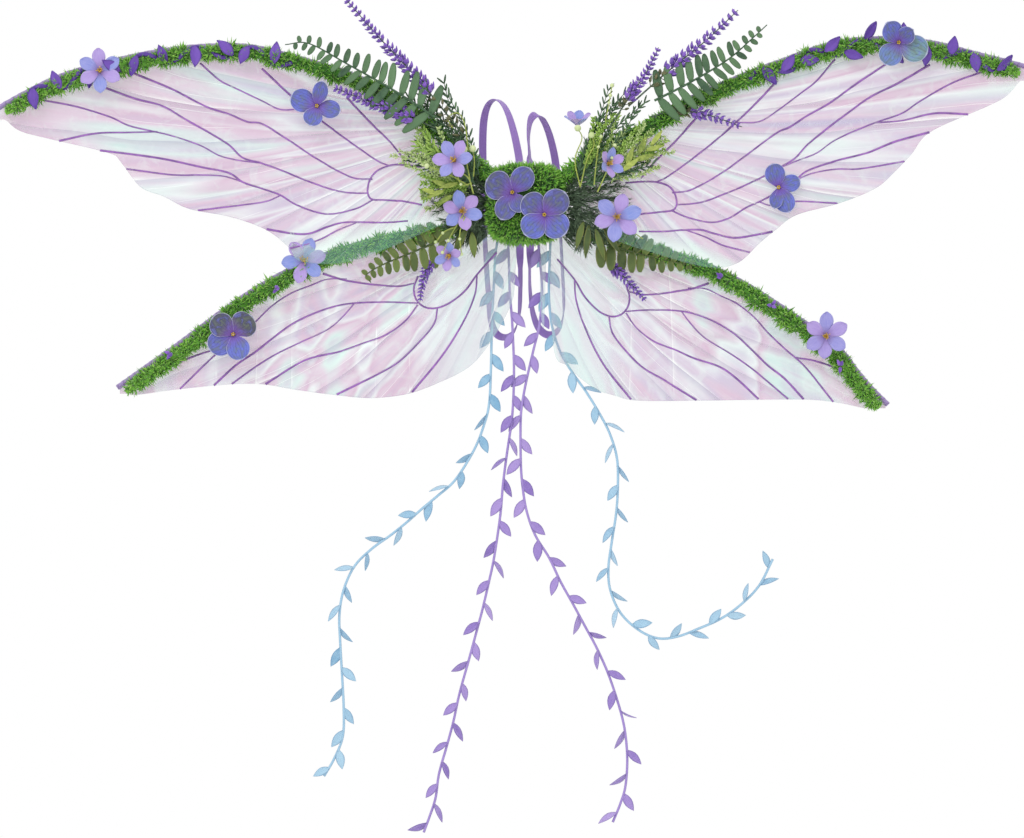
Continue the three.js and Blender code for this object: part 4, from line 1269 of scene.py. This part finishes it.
cad_blossom("upper_left_tip_flower", UL.body, (0.05, -1, 0.1), 0.55, 0.2, 0.9, "periwinkle_silk",
            (5, -7))
cad_blossom("upper_left_root_flower_high", UL.body, (-0.3, -1, 0.2), 0.0, 0.35, 0.85,
            shift=(6, -4))
cad_blossom("upper_left_root_flower_low", UL.body, (0.2, -1, 0.1), 0.75, 0.3, 0.0, shift=(4, 0))
cad_blossom("upper_right_stem_flower", UR.body, (0.0, -0.45, 0.9), 0.3, 0.95, 0.0,
            shift=(-2, -11))
cad_blossom("upper_right_side_flower", UR.body, (0.6, -0.8, 0.1), 0.4, 0.6, 0.0)
cad_blossom("upper_right_root_flower", UR.body, (0.0, -1, 0.05), 0.3, 0.2, 0.9, "periwinkle_silk",
            (1, -7))
cad_blossom("lower_left_corner_flower", LL.body, (0.0, -1, 0.0), 0.2, 0.2, 0.0)
cad_blossom("lower_right_garland_flower", LR.body, (0.05, -1, 0.0), 0.5, 0.25, 0.3)
make_blossom("upper_left_small_blossom", UL.body, on(UL, -88 * MM, -61 * MM, 16 * MM), 18 * MM,
             (-0.3, -1, -0.3), 0.3, 0.4, "lilac_silk")


# ---------------------------------------------------------------- build: ferns and lavenders

make_fern("upper_left_fern", UL, [(-104, 98, 33), (-150, 128, 37), (-205, 159, 39),
                                    (-250, 183, 38), (-278, 182, 36)], 15, 40, 11)
make_fern("upper_right_fern", UR, [(150, 118, 31), (190, 138, 36), (235, 165, 38),
                                     (266, 192, 37), (280, 205, 35)], 13, 36, 11)
make_fern("lower_left_fern", LL, [(-92, -40, 17), (-130, -56, 17), (-168, -72, 17),
                                    (-186, -84, 17), (-180, -92, 17)], 10, 32, 12, OLIVE)
make_fern("lower_right_fern", LR, [(84, -44, 17), (125, -56, 17), (165, -66, 17),
                                     (205, -74, 17)], 10, 34, 13, OLIVE)
make_lavender("upper_left_long_lavender", UL, [(-70, 76, 24), (-120, 138, 27), (-170, 192, 27),
                                                 (-209, 237, 26)], 0.3, 22, 14, 6)
make_lavender("upper_left_short_lavender", UL, [(-98, 84, 24), (-150, 106, 29), (-190, 120, 32),
                                                  (-222, 133, 33)], 0.24, 17, 15)
make_lavender("upper_right_long_lavender", UR, [(120, 112, 24), (168, 154, 27), (210, 188, 27),
                                                  (247, 223, 26)], 0.34, 14, 15, 3)
make_lavender("upper_right_short_lavender", UR, [(92, 78, 24), (118, 118, 27), (140, 150, 27),
                                                   (155, 180, 26)], 0.4, 12, 12, 2)
make_lavender("upper_right_low_lavender", UR, [(146, 100, 16), (176, 107, 18), (215, 101, 19),
                                                 (252, 88, 18)], 0.42, 9, 12, 5)
make_lavender("lower_left_lavender", LL, [(-104, -62, 11), (-116, -80, 12), (-121, -98, 12),
                                            (-123, -114, 12)], 0.1, 11, 10)
make_lavender("lower_right_lavender", LR, [(96, -66, 11), (112, -82, 12), (128, -98, 12),
                                             (141, -113, 12)], 0.1, 11, 11)


# ---------------------------------------------------------------- build: bouquet greenery

def bouquet(wing, name, parts, material, replaced=None, slot="fern_green"):
    """One mesh of several sprays: (root x, z, lift in mm, aim, spread, count, length in mm, maker)."""
    soup = Soup()
    for x, z, lift, aim, spread, count, length, maker in parts:
        root = on(wing, x * MM, z * MM, lift * MM)
        spray(soup, root, (aim[0], 0, aim[1]), spread, count, length * MM, maker)
    piece = soup.make(name, material, wing.body, slot)
    if replaced:
        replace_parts(piece, replaced)


bouquet(UL, "upper_left_needles", [
    (-56, 24, 8, (-0.5, 0.85), 0.45, 5, 78, needles),
    (-56, 12, 8, (-0.95, 0.35), 0.4, 5, 58, needles),
    (-55, 0, 8, (-1, -0.1), 0.5, 5, 48, needles),
    (-55, -12, 8, (-0.85, -0.5), 0.45, 5, 46, needles),
    (-56, -22, 8, (-0.35, -0.95), 0.4, 4, 34, needles)], NEEDLE)
bouquet(UR, "upper_right_needles", [
    (56, 22, 8, (0.5, 0.85), 0.4, 4, 74, needles),
    (56, 10, 8, (0.95, 0.35), 0.4, 5, 64, needles),
    (55, 0, 8, (1, -0.05), 0.5, 5, 60, needles),
    (55, -10, 8, (0.85, -0.5), 0.45, 6, 54, needles),
    (56, -20, 8, (0.45, -0.9), 0.5, 5, 44, needles)], NEEDLE)
bouquet(UL, "upper_left_frosted_spikes", [
    (-84, 26, 24, (-0.75, 0.66), 0.5, 9, 78, frosted),
    (-70, 10, 14, (-0.9, 0.1), 0.5, 5, 50, frosted)],
        FROSTED, "upper_left_frosted_grass", "frosted_green")
bouquet(UR, "upper_right_frosted_spikes", [
    (100, 28, 24, (0.75, 0.62), 0.5, 9, 76, frosted),
    (84, 44, 20, (0.6, 0.8), 0.3, 4, 56, frosted)],
        FROSTED, "upper_right_frosted_grass", "frosted_green")
bouquet(UL, "upper_left_dark_sprigs", [
    (-58, 34, 19, (-0.5, 0.87), 0.22, 6, 118, leafy),
    (-62, 24, 20, (-0.8, 0.6), 0.35, 5, 74, leafy)], FERN)
bouquet(UR, "upper_right_dark_sprigs", [
    (58, 30, 19, (0.55, 0.83), 0.22, 6, 116, leafy),
    (64, 22, 20, (0.85, 0.5), 0.35, 5, 84, leafy)], FERN)
bouquet(UL, "upper_left_lime_sprigs", [
    (-66, 22, 18, (-1, -0.15), 0.5, 7, 56, frosted), (-74, 44, 22, (-0.85, 0.5), 0.3, 3, 60, leafy)],
        LIME, slot="frosted_green")
bouquet(UR, "upper_right_lime_sprigs", [
    (70, 40, 22, (0.42, 0.9), 0.25, 5, 74, frosted), (92, 40, 24, (0.85, 0.55), 0.35, 5, 76, frosted)],
        LIME, slot="frosted_green")


def make_root_tuft(wing):
    """Needles that close the gap between moss pad and wing."""
    count = 420
    z = rng.uniform(-40, 36, count) * MM
    base = np.stack([wing.side * rng.uniform(43, 50, count) * MM, rng.uniform(-34, -26, count) * MM, z], 1)
    swing = np.stack([np.full(count, wing.side * 1.0), rng.uniform(-0.45, 0.05, count),
                      z * 14 + rng.normal(0, 0.5, count)], 1)
    soup = Soup()
    moss_blades(soup, base, unit(swing), rng.uniform(15, 27, count) * MM, np.full(count, 0.7 * MM),
                rng.normal(0, 1.5 * MM, count))
    piece = soup.make(wing.name + "_root_tuft", NEEDLE, slot="fern_green")
    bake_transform(piece)


make_root_tuft(UL)
make_root_tuft(UR)


def fine_stems(wing, name, stems, fruits):
    """Bent stems, each a route in mm, and round fruits of (stem index, share along, radius)."""
    stalks, berries_soup = Soup(), Soup()
    paths = [smooth_path(route(wing, points), 24) for points in stems]
    for path in paths:
        way = np.linspace(0, 1, len(path))
        stalks.add(tube(path, (0.95 - 0.35 * way) * MM, 5), 0.8)
    for index, share, radius in fruits:
        centre = paths[index][int(share * 23)] + FRONT * radius * 0.7 * MM
        berries_soup.add(ball(centre, radius * MM, 10), rng.uniform(0.2, 1))
    stalks.make(name + "_stems", STEM, wing.body, "frosted_green")
    berries_soup.make(name + "_berries", BERRY, wing.body, "frosted_green")


fine_stems(UL, "upper_left_filler", [
    [(-64, 26, 30), (-68, 46, 34), (-71, 61, 32)],
    [(-60, 30, 30), (-59, 48, 32), (-61, 62, 32)],
    [(-66, 20, 28), (-92, 34, 36), (-114, 42, 36)],
    [(-60, 10, 32), (-66, 28, 38), (-78, 34, 38), (-74, 20, 38), (-62, 22, 36)],
    [(-66, 60, 26), (-70, 90, 28), (-78, 104, 28), (-90, 98, 30), (-84, 86, 30)],
    [(-72, -14, 22), (-84, -34, 26), (-96, -58, 24)],
    [(-70, -16, 22), (-76, -36, 26), (-74, -60, 24)],
    [(-80, -28, 24), (-94, -34, 26), (-104, -46, 24)],
], [(0, 1, 4.4), (1, 1, 4.2), (2, 1, 3.0), (5, 1, 2.1), (6, 1, 2.1), (7, 1, 2.1), (5, 0.7, 1.9),
    (6, 0.65, 1.9), (7, 0.6, 1.9), (3, 0.55, 2.0), (3, 0.8, 1.8)])
fine_stems(UR, "upper_right_filler", [
    [(64, 18, 22), (58, 50, 26), (66, 74, 28), (61, 86, 30)],
    [(64, 18, 22), (72, 50, 28), (80, 66, 30), (77, 78, 30)],
    [(80, 20, 30), (84, 58, 34), (88, 76, 34)],
    [(84, 12, 30), (98, 44, 34), (104, 66, 32)],
    [(88, 70, 20), (96, 108, 24), (101, 136, 24)],
    [(96, -24, 18), (118, -30, 22), (137, -42, 20)],
], [(0, 1, 4.0), (1, 1, 3.8), (2, 1, 2.2), (2, 0.8, 1.9), (3, 1, 2.2), (3, 0.75, 2.0), (4, 1, 2.6),
    (4, 0.85, 2.2), (4, 0.7, 2.0)])


def leaf_spray(wing, name, material, sprigs):
    """Loose leaves: (x, z, lift, aim x, aim z, length, width) in mm."""
    soup = Soup()
    for x, z, lift, ax, az, length, width in sprigs:
        shell = blade("leaf", length * MM, width * MM, 10, 5, fold=0.3, droop=rng.uniform(0, 0.2),
                      ripple=0.03, thickness=0.5 * MM, phase=x)
        soup.add(placed(shell, on(wing, x * MM, z * MM, lift * MM), (ax, rng.uniform(-0.2, 0.05), az),
                        (rng.uniform(-0.2, 0.2), -1, 0.2)), rng.uniform(0, 1))
    soup.make(name, material, wing.body, "fern_green")


leaf_spray(UL, "upper_left_sprig", STEM, [
    (-78, 22, 30, -0.9, -0.2, 22, 6), (-88, 18, 30, -0.8, 0.3, 22, 6), (-94, 14, 30, -1, -0.4, 22, 6),
    (-102, 10, 28, -0.6, 0.2, 20, 6), (-84, 8, 30, -0.9, -0.5, 22, 6), (-76, 30, 32, -0.6, 0.5, 20, 6)])
leaf_spray(UL, "upper_left_dark_leaves", OLIVE, [
    (-62, -34, 16, 0.1, -1, 30, 9), (-68, -30, 16, -0.5, -0.9, 34, 9), (-76, -26, 16, -0.8, -0.6, 34, 9)])
leaf_spray(UR, "upper_right_sprays", STEM, [
    (112, 36, 30, 0.8, 0.6, 26, 7), (118, 42, 30, 0.3, 1, 24, 7), (126, 48, 30, 0.9, 0.3, 26, 7),
    (132, 56, 30, 0.4, 0.9, 24, 7), (140, 60, 30, 0.95, 0.3, 22, 6), (146, 66, 28, 0.6, 0.8, 22, 6)])
leaf_spray(UR, "upper_right_dark_leaves", OLIVE, [
    (74, -26, 16, -0.1, -1, 38, 8), (82, -30, 16, 0.3, -1, 38, 8), (92, -30, 16, 0.6, -0.9, 34, 8),
    (68, -22, 16, -0.3, -1, 32, 8)])


def garland_buds(wing, name, places):
    """Small closed buds on the moss, at (x, z) in mm."""
    soup = Soup()
    for x, z in places:
        centre = on(wing, x * MM, z * MM, 17 * MM)
        for _ in range(3):
            along = unit(np.array([rng.uniform(-1, 1), -0.6, rng.uniform(-1, 1)]))
            soup.add(bud(centre + along * 1 * MM, along, rng.uniform(7, 10) * MM, 2.4 * MM, 6),
                     rng.uniform(0, 1))
    soup.make(name, LAVENDER, wing.body, "lavender_purple")


garland_buds(LL, "lower_left_buds", [(-289, -98), (-361, -137), (-413, -175)])
garland_buds(LR, "lower_right_buds", [(230, -86), (288, -119), (368, -190)])


# ---------------------------------------------------------------- build: hub

def rounded(half_x, half_z, corner):
    """Outline of a rounded rectangle seen from behind the wearer, as rows of x and z."""
    points = []
    for k, (sx, sz) in enumerate(((1, 1), (-1, 1), (-1, -1), (1, -1))):
        turn = np.linspace(0, math.pi / 2, 12) + k * math.pi / 2
        points.append(np.stack([sx * (half_x - corner) + corner * np.cos(turn),
                                sz * (half_z - corner) + corner * np.sin(turn)], 1))
    return np.vstack(points)


def make_backing():
    """Felt pad with soft edges and blanket stitches round its rim."""
    low, high = box("felt_backing")
    half = (high - low) / 2
    soup = Soup()
    rings = []
    for y, inset in ((low[1], 1.2), (low[1] + 0.6 * MM, 0.35), (low[1] + 1.5 * MM, 0.0),
                     (high[1] - 0.6 * MM, 0.35), (high[1], 1.2)):
        outline = rounded(half[0] - inset * MM, half[2] - inset * MM, 14 * MM)
        rings.append(np.stack([outline[:, 0], np.full(len(outline), y), outline[:, 1]], 1))
    soup.add(loft(rings), 0.5)
    pad = soup.make("felt_pad", FELT, "hub", "purple_felt")
    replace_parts(pad, "felt_backing")
    thread = Soup()
    edge = rounded(half[0], half[2], 14 * MM)
    loop = resample(np.vstack([edge, edge[:1]]), 41)[:-1]
    for x, z in loop:
        inward = unit(np.array([-x, 0.0, -z]))
        outer = np.array([x, high[1] + 0.2 * MM, z]) - inward * 0.2 * MM
        inner = np.array([x, high[1] + 0.3 * MM, z]) + inward * 5 * MM
        thread.add(tube(np.linspace(outer, inner, 4), 0.45 * MM, 5, front=np.array([0, 1.0, 0])), 0.8)
    thread.make("felt_stitches", ELASTIC, "hub", "purple_elastic")


LOOPS = {
    "left_arm_strap": [
        (-6, -4.4, 32), (-6, -4.4, 44), (-6.5, -2, 49), (-7, 3, 55), (-9, 9, 67), (-13, 17, 86),
        (-19, 26, 107), (-26, 34, 121), (-35, 42, 127), (-43, 50, 122), (-48, 57, 108),
        (-50, 64, 86), (-50, 70, 50), (-49, 73, 0), (-47, 70, -50), (-44, 64, -95),
        (-41, 54, -130), (-35, 44, -149), (-24, 34, -155), (-13, 25, -148), (-7, 17, -130),
        (-5.5, 9, -100), (-5.5, 4, -75), (-6, 1.5, -56), (-6, -2, -49), (-6, -4.4, -44),
        (-6, -4.4, -32)],
    "right_arm_strap": [
        (6, -4.4, 32), (6, -4.4, 44), (5.8, -2, 49), (5.5, 3, 55), (5, 9, 66), (4, 16, 78),
        (4.5, 23, 91), (7, 30, 103), (13, 37, 109), (20, 45, 105), (27, 53, 92), (33, 61, 72),
        (37, 67, 50), (40, 71, 15), (42, 71, -20), (44, 68, -60), (46, 62, -100), (46, 54, -125),
        (42, 46, -142), (34, 38, -151), (24, 31, -151), (15, 24, -142), (9, 16, -125),
        (6, 9, -100), (5.5, 4, -75), (6, 1.5, -56), (6, -2, -49), (6, -4.4, -44), (6, -4.4, -32)],
}
STRAP_WIDTH = 9 * MM
STRAP_THICKNESS = 1.2 * MM


def make_strap(name, twist, low_twist):
    """Braided elastic arm loop: a flat band with a raised rib along each edge. It is turned by
    twist on the run up from the felt and by low_twist on the run below it."""
    path = smooth_path(np.array(LOOPS[name]) * MM, 260)
    tangent = unit(np.gradient(path, axis=0))
    out = path - np.array([0, 0.035, -0.010])
    out[:, 0] = 0
    across = unit(np.cross(out, tangent))
    face = np.cross(tangent, across)
    away, height = path[:, 1:2] / MM, path[:, 2:] / MM
    up = np.clip((height - 46) / 12, 0, 1) * np.clip((46 - away) / 14, 0, 1)
    down = np.clip(np.where(away > 30, 10 - height, -50 - height) / 24, 0, 1)
    turn = twist * up + low_twist * down
    across, face = across * np.cos(turn) + face * np.sin(turn), face * np.cos(turn) - across * np.sin(turn)
    profile = np.array([(-1, -.5), (-.8, -1.15), (-.55, -.8), (0, -.95), (.55, -.8), (.8, -1.15), (1, -.5),
                        (1, .5), (.8, 1.15), (.55, .8), (0, .95), (-.55, .8), (-.8, 1.15), (-1, .5)])
    rings = (path[:, None] + across[:, None] * (profile[None, :, :1] * STRAP_WIDTH / 2)
             + face[:, None] * (profile[None, :, 1:] * STRAP_THICKNESS / 2))
    uv = np.stack(np.broadcast_arrays(np.linspace(0, 1, len(path))[:, None],
                                      (profile[None, :, 0] + 1) / 2), -1).reshape(-1, 2)
    soup = Soup()
    soup.add(loft(rings, uv))
    piece = soup.make(name + "_band", ELASTIC, "hub", "purple_elastic")
    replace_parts(piece, name)


make_backing()
make_strap("left_arm_strap", 0.0, 1.0)
make_strap("right_arm_strap", 1.2, 1.3)

coats = {wing_name + "_spar_wire": WIRE for wing_name in WINGS}
coats.update({"upper_yoke": YOKE, "lower_yoke": YOKE, "frame_binding": YOKE})
for plain, coat in coats.items():
    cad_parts[plain].data.materials.clear()
    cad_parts[plain].data.materials.append(coat)


# ---------------------------------------------------------------- floor, light and finish

def area_light(name, place, energy, size):
    data = bpy.data.lights.new(name, "AREA")
    data.energy = energy
    data.size = size
    light = bpy.data.objects.new(name, data)
    light.location = place
    aim = -np.array(place)
    light.rotation_euler = (math.atan2(math.hypot(aim[0], aim[1]), -aim[2]), 0,
                            math.atan2(aim[0], -aim[1]) + math.pi)
    bpy.context.scene.collection.objects.link(light)


def make_surroundings():
    bpy.ops.mesh.primitive_plane_add(size=10, location=(0, 0, -1.3))
    floor = bpy.context.object
    floor.name = "floor"
    paper, _, _ = new_material("floor_paper", Roughness=0.9, Base_Color=(0.9, 0.9, 0.9, 1))
    floor.data.materials.append(paper)
    world = bpy.data.worlds.new("world")
    world.use_nodes = True
    background = world.node_tree.nodes["Background"]
    background.inputs["Color"].default_value = (1, 1, 1, 1)
    background.inputs["Strength"].default_value = 1.0
    bpy.context.scene.world = world
    bpy.context.scene.view_settings.view_transform = "Standard"
    area_light("key_light", (-1.2, -2.6, 2.2), 26, 1.4)


make_surroundings()
